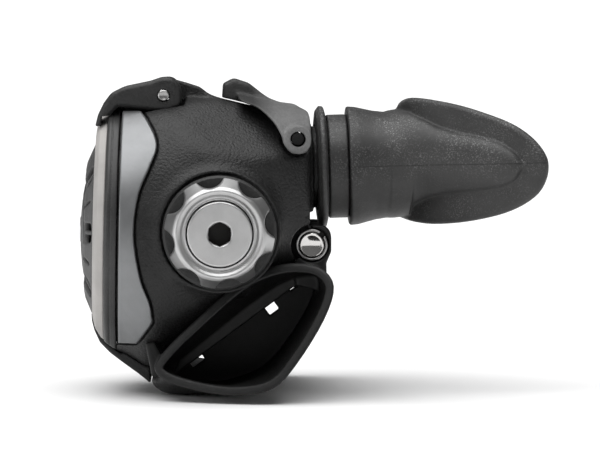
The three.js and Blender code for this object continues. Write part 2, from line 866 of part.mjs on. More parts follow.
piece(
  regulator,
  'adjusting_spindle',
  turned(
    [
      [0, -38.7],
      [3.6, -38.7],
      [3.6, -36.2],
      [4.8, -36.2],
      [4.8, -29.6],
      [3.5, -29.6],
      [3.5, -27.4],
      [4.8, -27.4],
      [4.8, -18.2],
      [2.4, -17.6],
      [0, -17.6],
    ],
    'y',
    SMALL_ROUND,
  ),
  SATIN_METAL,
);
piece(regulator, 'spindle_o_ring', ringSeal(4.5, 0.65, -28.5, 'y'), BLACK_RUBBER);

// ---------------------------------------------------------------- demand lever

// Two legs straddle the barrel, a bridge joins them, and an arm reaches forward to the diaphragm's disc.
function demandLeverSolid() {
  const legOutline = outlineOf([
    [LEVER_PIVOT_X + 2.2, LEVER_PIVOT_Y + 2.2],
    [LEVER_PIVOT_X - 6.6, LEVER_PIVOT_Y + 2.2],
    [-13.4, 1.6],
    [-13.4, -1.2],
    [-12.2, -1.2],
    [-4, 10.6],
    [LEVER_PIVOT_X + 2.2, LEVER_PIVOT_Y - 2],
  ]);
  const legs = [-1, 1].map((side) => {
    const low = side > 0 ? LEVER_LEG_Z : -LEVER_LEG_Z - LEVER_THICKNESS;
    return solid(plateAlongZ(legOutline, low, low + LEVER_THICKNESS));
  });
  const prongs = [-1, 1].map((side) =>
    solid(
      box(
        [-3.6, 13.1, side > 0 ? 2.8 : -LEVER_LEG_Z - 0.5],
        [-1.4, 15.1, side > 0 ? LEVER_LEG_Z + 0.5 : -2.8],
      ),
    ),
  );
  const bridge = solid(
    box([-13.4, -1.2, -LEVER_LEG_Z - 0.5], [-12.2, 1.6, LEVER_LEG_Z + 0.5]),
  );
  const armOutline = outlineOf([
    [-12.6, 1.2],
    [-21, -1],
    [-22.9, -2.2],
    [-22.9, -3.8],
    [-20.4, -3],
    [-12.6, -0.8],
  ]);
  const arm = solid(plateAlongZ(armOutline, -2.5, 2.5));
  return joined(...legs, ...prongs, bridge, arm);
}
piece(regulator, 'demand_lever', demandLeverSolid(), STEEL);

// ---------------------------------------------------------------- inhalation knob

piece(
  regulator,
  'knob_base',
  turned(
    [
      [10.7, -32.6],
      [KNOB_RADIUS - 0.4, -32.6],
      [KNOB_RADIUS, -33.2],
      [KNOB_RADIUS, -36.4],
      [KNOB_RADIUS - 0.6, -37],
      [5.2, -37],
      [5.2, -35.5],
      [10.7, -35.5],
    ],
    'y',
  ),
  BLACK_NYLON,
);

// A ring with eight lugs whose faces slope back from a raised crest. It is hollow behind the cap.
function gripRingSolid() {
  const lugCount = 8;
  const firstLug = THREE.MathUtils.degToRad(32.7);
  const body = solid(
    turned(
      [
        [8.8, -37.3],
        [14.3, -37.3],
        [14.3, -38.6],
        [11.9, -43.9],
        [11, -44.4],
        [10.4, -44.1],
        [9.4, -43.2],
        [8.8, -43.2],
      ],
      'y',
      32,
    ),
  );
  const scallops = [];
  for (let i = 0; i < lugCount; i += 1) {
    const angle = firstLug + ((i + 0.5) * 2 * Math.PI) / lugCount;
    const scallop = cylinder(3.9, -46, -36, 'y', SMALL_ROUND);
    scallop.translate(15.7 * Math.cos(angle), 0, 15.7 * Math.sin(angle));
    scallops.push(solid(scallop));
  }
  return cut(body, ...scallops);
}
piece(regulator, 'knob_grip_ring', gripRingSolid(), SATIN_METAL);

function knobCapSolid() {
  const disc = turned(
    [
      [0, -40],
      [4.4, -40],
      [4.4, -37.3],
      [8.4, -37.3],
      [8.4, -44.7],
      [8.1, -45],
      [0, -45],
    ],
    'y',
  );
  const socket = cylinder(3.1, -46, -42, 'y', 6);
  return cut(solid(disc), solid(socket));
}
piece(regulator, 'knob_cap', knobCapSolid(), SATIN_METAL);

// ---------------------------------------------------------------- exhaust

// A mushroom valve: a thin rubber disc held by a stem through the port's spoked hub.
piece(
  exhaust,
  'exhaust_valve',
  turned(
    [
      [0, 2.3],
      [3, 2.2],
      [EXHAUST_VALVE_RADIUS, 1.7],
      [EXHAUST_VALVE_RADIUS, 1.1],
      [1, 1.1],
      [1, -3.2],
      [1.8, -3.4],
      [1.8, -4.4],
      [0, -5],
    ],
    'z',
  ),
  SILICONE,
);

// Outlines of the exhaust tee in X and Z, point for point: its middle under the port and a horn's open end.
const TEE_MIDDLE = [
  [-17.4, -39.6],
  [-12.5, -35.4],
  [-6.8, -31.2],
  [3.1, -23.9],
  [10.3, -18.6],
  [18, -12.9],
  [25.5, -10.6],
  [28, -14.6],
  [26, -22],
  [19.5, -32.5],
  [13, -39.5],
  [4, -43.2],
  [-4.7, -44],
  [-13.4, -44],
];
const HORN_END = [
  [-16.9, -35.2],
  [-13, -29.8],
  [-6.8, -23.9],
  [3.1, -15.1],
  [10.3, -10.6],
  [18.6, -8.4],
  [26, -9.3],
  [29.6, -14],
  [27, -22.4],
  [19.8, -33.8],
  [13.7, -40],
  [4.6, -41.9],
  [-5, -41.1],
  [-14, -38.6],
];
const HORN_UPPER_REACH = 30; // y of the open end's upper edge
const HORN_LOWER_REACH = 42; // and of its lower edge

// Distance out of the case's underside plane, along its normal.
function belowUnderside(x, z) {
  return (x - PORT_X) * Math.sin(undersideAngle) - (z - undersideZ(PORT_X)) * Math.cos(undersideAngle);
}

// A closed outline moved inwards by a distance, point by point along its mean normal.
function inset(outline, distance) {
  return outline.map(([x, z], i) => {
    const before = outline[(i + outline.length - 1) % outline.length];
    const after = outline[(i + 1) % outline.length];
    const alongX = after[0] - before[0];
    const alongZ = after[1] - before[1];
    const length = Math.hypot(alongX, alongZ);
    return [x + (distance * alongZ) / length, z - (distance * alongX) / length];
  });
}

function smoothCurve(outline, count) {
  const curve = new THREE.CatmullRomCurve3(
    outline.map(([x, z]) => new THREE.Vector3(x, 0, z)),
    true,
    'centripetal',
  );
  return curve.getPoints(count).slice(0, count);
}

function teeSkin(distance, reach) {
  const count = 28;
  const stations = [-1, -0.8, -0.55, -0.3, 0.3, 0.55, 0.8, 1];
  const middle = smoothCurve(inset(TEE_MIDDLE, distance), count);
  const end = smoothCurve(inset(HORN_END, distance), count);
  return loft(
    stations.map((station) => {
      const blend = THREE.MathUtils.smoothstep(Math.abs(station), 0.3, 0.9);
      return middle.map((point, i) => {
        const fall = THREE.MathUtils.clamp((belowUnderside(end[i].x, end[i].z) + 6) / 26, 0, 1);
        const y = station * reach * THREE.MathUtils.lerp(HORN_UPPER_REACH, HORN_LOWER_REACH, fall);
        return [
          THREE.MathUtils.lerp(point.x, end[i].x, blend),
          y,
          THREE.MathUtils.lerp(point.z, end[i].z, blend),
        ];
      });
    }),
  );
}

function teeEar(side) {
  const outline = new THREE.Shape();
  outline.absarc(TEE_PIN_X, TEE_PIN_Z, TEE_EAR_RADIUS, -0.15, Math.PI * 1.05, false);
  outline.lineTo(20.4, -14);
  outline.lineTo(27.5, -16);
  const inner = TEE_LUG_HALF_WIDTH + GAP;
  const near = side > 0 ? inner : -TEE_EAR_OUTER;
  const far = side > 0 ? TEE_EAR_OUTER : -inner;
  const recess = cylinder(
    TEE_EAR_RADIUS - 0.6,
    side > 0 ? TEE_EAR_OUTER - 1.6 : -TEE_EAR_OUTER - 1,
    side > 0 ? TEE_EAR_OUTER + 1 : -TEE_EAR_OUTER + 1.6,
    'y',
  );
  return cut(solid(plateAlongY(outline, near, far)), solid(recess.translate(TEE_PIN_X, 0, TEE_PIN_Z)));
}

// A tapered finger on each side that clips the tee to the case.
function teeFinger(side) {
  const outline = outlineOf([
    [-19.6, -29.6],
    [-17.2, -29.2],
    [-15, -33.5],
    [-15.2, -37.5],
    [-17.4, -37.5],
  ]);
  return solid(plateAlongY(outline, side > 0 ? 21 : -24.2, side > 0 ? 24.2 : -21));
}

// The wall across the tee's middle, under its roof, with three windows in it.
function teeWeb() {
  const wall = solid(teeSkin(TEE_WALL - 0.5, 1)).intersect(solid(box([-30, -0.9, -60], [40, 0.9, 10])));
  const aboveRoof = solid(box([-40, -3, -20], [40, 3, TEE_ROOF - 0.2]), exhaustFrame);
  const windows = [
    [-13.6, 4.2, 2.6],
    [11, 3, 3.6],
    [19.6, 3.6, 2.2],
  ].map(([along, width, height]) => {
    const window = box([-width / 2, -3, TEE_ROOF], [width / 2, 3, TEE_ROOF + height]);
    window.translate(-along, 0, 0);
    return solid(window, exhaustFrame);
  });
  return cut(wall, aboveRoof, ...windows);
}

// The flat roof under the case, round the exhaust valve.
function teeRoof() {
  const slab = solid(box([-24, -17, 0], [22, 17, TEE_ROOF]), exhaustFrame);
  return slab.intersect(solid(teeSkin(0.1, 1)));
}

function teeSolid() {
  const inside = solid(teeSkin(TEE_WALL, 1.06));
  const shell = cut(solid(teeSkin(0, 1)), inside);
  const caseRoom = cut(
    solid(caseSkin(GAP + 0.1)),
    solid(box([REAR_X + GAP, -60, -60], [60, 60, 60])),
  );
  const lugRoom = cylinder(4.2, -TEE_LUG_HALF_WIDTH - GAP, TEE_LUG_HALF_WIDTH + GAP, 'y');
  const pinRoom = cylinder(TEE_PIN_RADIUS + HOLE_CLEARANCE, -30, 30, 'y', SMALL_ROUND);
  return cut(
    joined(shell, teeEar(-1), teeEar(1), teeFinger(-1), teeFinger(1), teeRoof(), teeWeb()),
    caseRoom,
    solid(lugRoom.translate(TEE_PIN_X, 0, TEE_PIN_Z)),
    solid(cylinder(PORT_BOSS_RADIUS + GAP, -9, PORT_BOSS_HEIGHT + GAP, 'z'), exhaustFrame),
    solid(cylinder(EXHAUST_VALVE_RADIUS + 0.5, -9, TEE_ROOF + 0.1, 'z'), exhaustFrame),
    solid(pinRoom.translate(TEE_PIN_X, 0, TEE_PIN_Z)),
  );
}
piece(regulator, 'exhaust_tee', teeSolid(), DARK_PLASTIC);

piece(
  regulator,
  'tee_pin',
  turned(
    [
      [0, -17.4],
      [2.4, -18.2],
      [3.2, -18],
      [3.2, -17],
      [TEE_PIN_RADIUS, -16.8],
      [TEE_PIN_RADIUS, 16.8],
      [3.2, 17],
      [3.2, 18],
      [0, 18],
    ],
    'y',
    SMALL_ROUND,
  ).translate(TEE_PIN_X, 0, TEE_PIN_Z),
  CHROME,
);

// A spring clip round the pin's head, open on one side.
function clipSolid() {
  const ring = solid(pipe(3.5, 4.3, -17.9, -17.2, 'y', SMALL_ROUND));
  const opening = box([2, -19, -0.8], [6, -16, 0.8]);
  opening.rotateY(-Math.PI / 4);
  return cut(ring, solid(opening));
}
const clip = piece(regulator, 'tee_pin_clip', clipSolid(), STEEL);
clip.position.set(TEE_PIN_X, 0, TEE_PIN_Z);

// ---------------------------------------------------------------- venturi lever

// A saddle over the case's rear shoulder with a finger fin on top, and a pivot eye at each lower end.
function venturiLeverSolid() {
  const saddleOutline = outlineOf([
    [5.5, 34],
    [10.2, 31.6],
    [14, 28.2],
    [16.6, 24.4],
    [17.4, 22],
    [24, 22],
    [23.4, 28],
    [21.6, 32.6],
    [14, 36.5],
    [5.5, 38.5],
  ]);
  const shell = cut(solid(caseSkin(2.2)), solid(caseSkin(0.45)));
  const endStop = solid(box([REAR_X - 0.4, -60, -60], [60, 60, 60]));
  const saddle = cut(shell.intersect(solid(plateAlongY(saddleOutline, -30, 30))), endStop);
  const finOutline = outlineOf([
    [1.2, 36],
    [1.4, 38],
    [2.6, 39.2],
    [4.2, 39.6],
    [7, 38.6],
    [14.8, 33.6],
    [20, 32.6],
    [21, 31],
    [12, 32.6],
    [5, 34.6],
  ]);
  const fin = cut(solid(plateAlongY(finOutline, -7, 7)), solid(caseSkin(0.45)));
  const eyes = [-1, 1].map((side) => {
    const eye = cylinder(3.5, side > 0 ? 20 : -23.2, side > 0 ? 23.2 : -20, 'y', SMALL_ROUND);
    return cut(solid(eye.translate(VENTURI_X, 0, VENTURI_Z)), solid(caseSkin(0.45)));
  });
  const pinHoles = solid(
    cylinder(2, -40, 40, 'y', SMALL_ROUND).translate(VENTURI_X, 0, VENTURI_Z),
  );
  return cut(joined(saddle, fin, ...eyes), pinHoles);
}
piece(regulator, 'venturi_lever', venturiLeverSolid(), GREY_PLASTIC);

// The vane inside the mouth tube's entrance, on a shaft through the case's sides.
function vaneSolid() {
  const shaft = cylinder(VENTURI_PIN_RADIUS, -21, 21, 'y', SMALL_ROUND).translate(VENTURI_X, 0, VENTURI_Z);
  const blade = box(
    [VENTURI_X - 2.6, -9, VENTURI_Z - 8],
    [VENTURI_X - 1.3, 9, VENTURI_Z + 0.4],
  );
  const root = box([VENTURI_X - 2.6, -9, VENTURI_Z - 0.8], [VENTURI_X, 9, VENTURI_Z + 0.4]);
  return joined(solid(shaft), solid(blade), solid(root));
}
piece(regulator, 'venturi_vane', vaneSolid(), DARK_PLASTIC);

// ---------------------------------------------------------------- mouthpiece

const MOUTHPIECE_EXPONENT = 2.5;
const SHIELD_FRONT = 26; // where the gum shield crosses the centre line
const SHIELD_TIP = 62.4; // the ends of its wings
const SHIELD_HALF_WIDTH = 31;
const SHIELD_THICKNESS = 2.2;

// The shield's height above and below the mouth tube's axis, from its centre (0) to its tips (1).
const shieldTop = (t) => 17.9 * Math.sqrt(1 - t ** 2.7);
const shieldBottom = (t) => -15.6 * Math.sqrt(1 - t ** 4.5);

function shieldSolid() {
  const steps = 22;
  const widest = 0.992;
  const rings = [];
  for (let i = 0; i <= steps; i += 1) {
    const across = widest * Math.sin((0.5 - i / steps) * Math.PI);
    const t = Math.abs(across);
    const y = SHIELD_HALF_WIDTH * across;
    const along = SHIELD_FRONT + (SHIELD_TIP - SHIELD_FRONT) * t ** 2;
    const slope = (2 * (SHIELD_TIP - SHIELD_FRONT) * across) / SHIELD_HALF_WIDTH;
    const normal = new THREE.Vector2(1, -slope).normalize().multiplyScalar(SHIELD_THICKNESS / 2);
    const high = shieldTop(t);
    const low = shieldBottom(t);
    const edge = 0.12 * (high - low);
    rings.push([
      [along - normal.x, y - normal.y, low + edge],
      [along, y, low],
      [along + normal.x, y + normal.y, low + edge],
      [along + normal.x, y + normal.y, high - edge],
      [along, y, high],
      [along - normal.x, y - normal.y, high - edge],
    ]);
  }
  return solid(loft(rings));
}

// A lug on each side that the teeth close on.
function biteTab(side) {
  const outline = outlineOf([
    [SHIELD_FRONT + 8, side * 16],
    [SHIELD_FRONT + 13, side * 11],
    [SHIELD_FRONT + 26, side * 15.5],
    [SHIELD_FRONT + 29, side * 20],
    [SHIELD_FRONT + 22.5, side * 23.2],
  ]);
  return solid(plateAlongZ(outline, -3, 3));
}

function mouthpieceSolid() {
  const outside = sleeve([
    [2.4, 20.6, 16.2, MOUTHPIECE_EXPONENT],
    [4.6, 20.6, 16.2, MOUTHPIECE_EXPONENT],
    [4.7, 18.1, 12.1, MOUTHPIECE_EXPONENT],
    [10.7, 18.1, 12.1, MOUTHPIECE_EXPONENT],
    [10.8, 20.6, 16.1, MOUTHPIECE_EXPONENT],
    [18, 19.6, 14.8, MOUTHPIECE_EXPONENT],
    [27.5, 18.6, 13.8, MOUTHPIECE_EXPONENT],
  ]);
  const socket = sleeve([
    [0, TUBE_HALF_WIDTH + GAP, TUBE_HALF_HEIGHT + GAP, 2.6],
    [TUBE_LENGTH + GAP, TUBE_HALF_WIDTH + GAP, TUBE_HALF_HEIGHT + GAP, 2.6],
  ]);
  const airway = sleeve([
    [10, 14.5, 8.6, MOUTHPIECE_EXPONENT],
    [24, 13.5, 7.2, MOUTHPIECE_EXPONENT],
    [70, 13.5, 7.2, MOUTHPIECE_EXPONENT],
  ]);
  const behindShield = sleeve([
    [SHIELD_FRONT + 1.1, 30, 30, 2],
    [SHIELD_FRONT + 6, 30, 30, 2],
  ]);
  const body = cut(solid(outside), solid(behindShield));
  return cut(
    joined(body, shieldSolid(), biteTab(1), biteTab(-1)),
    solid(socket),
    solid(airway),
  );
}
piece(mouth, 'mouthpiece', mouthpieceSolid(), SOFT_RUBBER);

function clampSolid() {
  const band = sleeve([
    [5, 19.2, 13.2, MOUTHPIECE_EXPONENT],
    [10.4, 19.2, 13.2, MOUTHPIECE_EXPONENT],
  ]);
  const room = sleeve([
    [4, 18.4, 12.4, MOUTHPIECE_EXPONENT],
    [12, 18.4, 12.4, MOUTHPIECE_EXPONENT],
  ]);
  const buckle = box([5, 18.5, -3.4], [10.4, 21.6, 3.4]);
  return cut(joined(solid(band), solid(buckle)), solid(room));
}
piece(mouth, 'mouthpiece_clamp', clampSolid(), DARK_PLASTIC);

export default regulator;
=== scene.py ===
"""A diving regulator's second stage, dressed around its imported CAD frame.

Shapes are worked out in millimetres in the modelling frame: the air valve's barrel lies along Y through
x = 0, z = 0, the diver's face is towards +X, the front cover towards -X, and +Z is up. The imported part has
its origin at the centre of the hose inlet's end face, so every point moves by INLET_END along Y and becomes
metres on its way into a mesh.

Moulded and rubber pieces are modelled as signed distances on a grid, so that their walls, fillets and
openings blend as they do in a mould. Turned pieces are revolved profiles.
"""

import math
from functools import reduce

import bpy
import numpy as np
import openvdb
from mathutils import Matrix, Vector


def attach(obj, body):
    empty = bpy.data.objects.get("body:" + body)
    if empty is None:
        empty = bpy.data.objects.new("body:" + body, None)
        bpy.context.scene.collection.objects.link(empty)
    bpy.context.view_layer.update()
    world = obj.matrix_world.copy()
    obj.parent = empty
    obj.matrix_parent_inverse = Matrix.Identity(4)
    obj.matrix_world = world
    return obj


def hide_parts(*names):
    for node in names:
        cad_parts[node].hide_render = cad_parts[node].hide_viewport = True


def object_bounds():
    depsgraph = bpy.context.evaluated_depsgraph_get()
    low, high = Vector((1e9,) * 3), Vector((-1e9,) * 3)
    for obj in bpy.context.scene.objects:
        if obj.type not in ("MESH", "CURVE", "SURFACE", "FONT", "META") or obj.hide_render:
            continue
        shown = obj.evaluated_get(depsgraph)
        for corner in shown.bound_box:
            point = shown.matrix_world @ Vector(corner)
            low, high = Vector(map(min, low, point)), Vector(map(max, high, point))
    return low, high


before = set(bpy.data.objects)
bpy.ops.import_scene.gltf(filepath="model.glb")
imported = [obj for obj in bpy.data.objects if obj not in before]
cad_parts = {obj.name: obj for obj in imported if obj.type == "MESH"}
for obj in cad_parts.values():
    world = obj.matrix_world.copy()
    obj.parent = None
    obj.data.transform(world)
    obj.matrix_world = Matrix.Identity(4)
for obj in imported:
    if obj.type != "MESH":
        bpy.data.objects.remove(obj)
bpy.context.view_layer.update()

# ---- driving dimensions, in millimetres

MM = 0.001
INLET_END = 45.0
BARREL_RADIUS = 7.7
BOSS_FACE = 32.3
KNOB_RADIUS = 14.8
WALL = 2.2
GAP = 0.3

FRONT_X, FRONT_Z, FRONT_LEAN = -26.8, -1.0, math.radians(1.2)
REAR_X, MOUTH_Z, MOUTH_TILT = 24.0, 15.9, math.radians(-1.7)
UNDERSIDE_X, UNDERSIDE_Z, UNDERSIDE_SLOPE = -18.0, -39.0, 0.74
PORT_X, PORT_RADIUS, PORT_BOSS_RADIUS = 2.0, 12.0, 16.2
TEE_ROOF, TEE_WALL = 3.5, 1.9
HINGE_X, HINGE_Z, HINGE_PIN_RADIUS = -14.7, 35.3, 1.5
HINGE_HALF_WIDTH, HINGE_LUG_HALF_WIDTH, HINGE_POCKET_FLOOR = 14.0, 6.3, 30.3
HINGE_SWEEP_RADIUS = 5.9
TEE_PIN_X, TEE_PIN_Z, TEE_PIN_RADIUS = 24.5, -4.2, 1.9
EAR_RADIUS, EAR_INNER, EAR_OUTER = 5.2, 12.3, 18.0
EAR_PAD_RADIUS, EAR_PAD_ROOT, EAR_PAD_END = 7.6, 9.6, 23.0
VENTURI_X, VENTURI_Z, VENTURI_SHAFT_RADIUS = 20.7, 23.9, 1.85
CLASP_HALF_WIDTH = 9.0

# The mouth tube's sections: half width and half height, with one squareness.
MOUTH_COLLAR, MOUTH_TUBE, MOUTH_AIRWAY, MOUTH_SQUARENESS = (17.8, 12.0), (16.7, 10.9), (14.7, 8.9), 2.6
MOUTH_TUBE_END = 14.0

# The case's outer skin at stations along X: x, top, bottom, half width, squareness.
CASE_STATIONS = np.array(
    [
        [-26.5, 32.6, -33.8, 33.3, 2.0],
        [-18.0, 34.2, -39.0, 33.4, 2.2],
        [-9.0, 34.9, -32.34, 33.0, 2.4],
        [0.0, 34.6, -25.68, 32.0, 2.7],
        [10.0, 32.2, -18.28, 29.0, 3.0],
        [18.0, 30.4, -12.36, 25.0, 3.0],
        [24.0, 28.6, -7.92, 21.5, 3.2],
    ]
)


def underside_z(x):
    return UNDERSIDE_Z + (x - UNDERSIDE_X) * UNDERSIDE_SLOPE


def turned_frame(x, z, angle):
    """A frame at (x, 0, z), turned about Y."""
    return Matrix.Translation((x, 0, z)) @ Matrix.Rotation(angle, 4, "Y")


FRONT = turned_frame(FRONT_X, FRONT_Z, FRONT_LEAN)
MOUTH = turned_frame(REAR_X, MOUTH_Z, MOUTH_TILT)
EXHAUST_TURN = math.pi - math.atan(UNDERSIDE_SLOPE)
EXHAUST = turned_frame(PORT_X, underside_z(PORT_X), EXHAUST_TURN)
PLAIN = Matrix.Identity(4)


def inside_frame(matrix, x, z):
    """The two coordinates, across Y, that a point has in a turned frame."""
    angle = math.atan2(matrix[0][2], matrix[0][0])
    dx = x - matrix[0][3]
    dz = z - matrix[2][3]
    return dx * math.cos(angle) - dz * math.sin(angle), dx * math.sin(angle) + dz * math.cos(angle)


def in_metres(points, matrix=PLAIN):
    """Points in millimetres in a turned frame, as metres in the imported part's frame."""
    turned = points @ np.array(matrix)[:3, :3].T + np.array(matrix)[:3, 3]
    return (turned - np.array([0, INLET_END, 0])) * MM


# ---- outlines


def rounded(corners, radius=0.0, steps=5):
    """A closed outline through corners. A corner is (u, v) or (u, v, its own radius)."""
    outline = []
    for i, corner in enumerate(corners):
        here = np.array(corner[:2], float)
        back = np.array(corners[i - 1][:2], float) - here
        on = np.array(corners[(i + 1) % len(corners)][:2], float) - here
        back_length = np.linalg.norm(back)
        on_length = np.linalg.norm(on)
        back /= back_length
        on /= on_length
        opening = math.acos(np.clip(back @ on, -1, 1))
        own = corner[2] if len(corner) > 2 else radius
        if own <= 0 or opening > math.pi - 0.05:
            outline.append(here)
            continue
        reach = min(own / math.tan(opening / 2), 0.49 * back_length, 0.49 * on_length)
        for step in range(steps + 1):
            t = step / steps
            start = here + back * reach
            end = here + on * reach
            outline.append((1 - t) ** 2 * start + 2 * t * (1 - t) * here + t**2 * end)
    return np.array(outline)


def smooth_closed(corners, steps=6):
    """A closed curve that passes smoothly through every corner."""
    corners = np.array(corners, float)
    curve = []
    for i in range(len(corners)):
        a, b, c, d = (corners[(i + k) % len(corners)] for k in (-1, 0, 1, 2))
        for step in range(steps):
            t = step / steps
            bend = (2 * a - 5 * b + 4 * c - d) * t**2 + (3 * b - a - 3 * c + d) * t**3
            curve.append((2 * b + (c - a) * t + bend) / 2)
    return np.array(curve)


# ---- signed distances


def outline_distance(outline, u, v):
    """Signed distance from (u, v) to a closed outline, negative inside."""
    squared = np.inf
    outside = 1.0
    for i in range(len(outline)):
        ax, ay = outline[i]
        bx, by = outline[i - 1]
        ex, ey = bx - ax, by - ay
        length = ex * ex + ey * ey
        if length < 1e-12:
            continue
        wx = u - ax
        wy = v - ay
        along = np.clip((wx * ex + wy * ey) / length, 0, 1)
        squared = np.minimum(squared, (wx - ex * along) ** 2 + (wy - ey * along) ** 2)
        above = v >= ay
        below = v < by
        left = ex * wy > ey * wx
        crosses = (above & below & left) | ~(above | below | left)
        outside = np.where(crosses, -outside, outside)
    return outside * np.sqrt(squared)


def blend_union(a, b, width):
    overlap = np.maximum(width - np.abs(a - b), 0)
    return np.minimum(a, b) - overlap * overlap / (4 * width)


def blend_common(a, b, width):
    return -blend_union(-a, -b, width)


def cut(solid, tool, width=0.3):
    return blend_common(solid, -tool, width)


def edged(a, b, radius):
    """The common part of a and b, with its edge rounded."""
    a = a + radius
    b = b + radius
    return np.minimum(np.maximum(a, b), 0) + np.hypot(np.maximum(a, 0), np.maximum(b, 0)) - radius


def common(*distances):
    """The common part of solids, with sharp edges."""
    return reduce(np.maximum, distances)


def slab(v, low, high):
    return common(low - v, v - high)


def sector(angle, share):
    """The angle from the middle of the nearest of the equal shares that a turn is split into."""
    return (angle + share / 2) % share - share / 2


def superellipse_distance(y, z, half_width, half_height, exponent):
    """Approximate distance to a superellipse: exponent 2 is an ellipse, and a higher one is squarer."""
    u = np.abs(y) / half_width
    v = np.abs(z) / half_height
    size = np.maximum((u**exponent + v**exponent) ** (1 / exponent), 1e-4)
    steep = np.hypot(u ** (exponent - 1) / half_width, v ** (exponent - 1) / half_height)
    slope = size ** (1 - exponent) * steep
    return (size - 1) / np.maximum(slope, 0.5 / np.maximum(half_width, half_height))


def eased(x, stations, values, width=2.5):
    """Values between stations, with the bends at the stations eased."""
    offsets = np.linspace(-width, width, 9)
    return sum(np.interp(x + offset, stations, values) for offset in offsets) / len(offsets)


def case_skin(grid):
    """Distance to the case's outer skin, which runs on straight past its first and last stations."""
    x = grid.x
    stations = CASE_STATIONS[:, 0]
    top, bottom, half_width, exponent = (eased(x, stations, CASE_STATIONS[:, k]) for k in (1, 2, 3, 4))
    height = grid.z - (top + bottom) / 2
    distance = superellipse_distance(grid.y, height, half_width, (top - bottom) / 2, exponent)
    lean = np.gradient(distance, grid.voxel, axis=0)
    return distance / np.sqrt(1 + np.minimum(lean * lean, 1))


# The shoulder facet on each side behind the hinge: a point on it and its outward normal on the +Y side.
SHOULDER_POINT = (-1.2, 27.0, 22.8)
SHOULDER_NORMAL = Vector((0.20, 0.60, 0.775)).normalized()
SHOULDER_CREASE = 1.6


def faceted_skin(grid):
    """The case's skin, flattened to a facet on each side, with a crease at its lower edge."""
    nx, ny, nz = SHOULDER_NORMAL
    px, py, pz = SHOULDER_POINT
    facet = (grid.x - px) * nx + (np.abs(grid.y) - py) * ny + (grid.z - pz) * nz
    return blend_common(case_skin(grid), facet, SHOULDER_CREASE)


# ---- grids and meshes


class Grid:
    """A regular grid of points, with x, y and z as arrays that broadcast to its shape."""

    def __init__(self, low, high, voxel, mirrored=False):
        self.voxel = voxel
        self.mirrored = mirrored
        low = [low[0], 0.0 if mirrored else low[1], low[2]]
        axes = [np.arange(a, b + voxel, voxel, dtype=np.float32) for a, b in zip(low, high)]
        self.low = low
        self.x = axes[0][:, None, None]
        self.y = axes[1][None, :, None]
        self.z = axes[2][None, None, :]


def mesh_of(name, points, faces, smooth_angle=None):
    mesh = bpy.data.meshes.new(name)
    mesh.from_pydata([tuple(p) for p in points], [], [tuple(int(i) for i in f) for f in faces])
    mesh.validate()
    mesh.polygons.foreach_set("use_smooth", [True] * len(mesh.polygons))
    if smooth_angle is not None:
        mesh.set_sharp_from_angle(angle=math.radians(smooth_angle))
    mesh.update()
    made = bpy.data.objects.new(name, mesh)
    bpy.context.scene.collection.objects.link(made)
    return made


def surface_of(name, grid, distance, matrix=PLAIN, smooth_angle=None):
    """The zero surface of a distance field, as an object in the part's frame."""
    band = 3 * grid.voxel
    values = np.clip(distance, -band, band).astype(np.float32)
    low = list(grid.low)
    if grid.mirrored:
        values = np.concatenate([values[:, :0:-1, :], values], axis=1)
        low[1] = -(values.shape[1] // 2) * grid.voxel
    volume = openvdb.FloatGrid(band)
    volume.copyFromArray(np.ascontiguousarray(values), tolerance=0.0)
    points, quads = volume.convertToQuads(0.0)
    points = points.astype(float) * grid.voxel + np.array(low)
    a, b, c = (points[quads[:, k]] for k in (0, 1, 2))
    if np.einsum("ij,ij->i", a, np.cross(b, c)).sum() < 0:
        quads = quads[:, ::-1]
    return mesh_of(name, in_metres(points, matrix), quads, smooth_angle)


def revolved(name, profile, axis="x", matrix=PLAIN, centre=(0, 0, 0), sides=96, smooth_angle=32, ripple=None):
    """A turned piece from an outline of (radius, distance along the axis). Points at radius 0 close it on its
    axis, and an outline clear of the axis makes a ring. ripple(angle, radius, along) may move the radius."""
    profile = np.array(profile, float)
    on_axis = profile[:, 0] < 1e-6
    ring = not on_axis.any()
    angles = np.arange(sides) * 2 * math.pi / sides
    points = []
    starts = []
    for (radius, along), centred in zip(profile, on_axis):
        starts.append(len(points))
        for angle in angles[:1] if centred else angles:
            r = radius if ripple is None or centred else ripple(angle, radius, along)
            spin = (r * math.cos(angle), r * math.sin(angle))
            points.append({"x": (along, *spin), "y": (spin[1], along, spin[0]), "z": (*spin, along)}[axis])
    faces = []
    rows = len(profile)
    for i in range(rows if ring else rows - 1):
        j = (i + 1) % rows
        for k in range(sides):
            n = (k + 1) % sides
            a, b = (starts[i], starts[i]) if on_axis[i] else (starts[i] + k, starts[i] + n)
            c, d = (starts[j], starts[j]) if on_axis[j] else (starts[j] + n, starts[j] + k)
            face = list(dict.fromkeys((a, b, c, d)))
            if len(face) > 2:
                faces.append(face)
    points = np.array(points) + np.array(centre)
    out = points - points.mean(0)
    volume = sum(out[f[0]] @ np.cross(out[f[k]], out[f[k + 1]]) for f in faces for k in range(1, len(f) - 1))
    if volume < 0:
        faces = [face[::-1] for face in faces]
    return mesh_of(name, in_metres(points, matrix), faces, smooth_angle)


COIL_STEPS, WIRE_SIDES = 40, 10


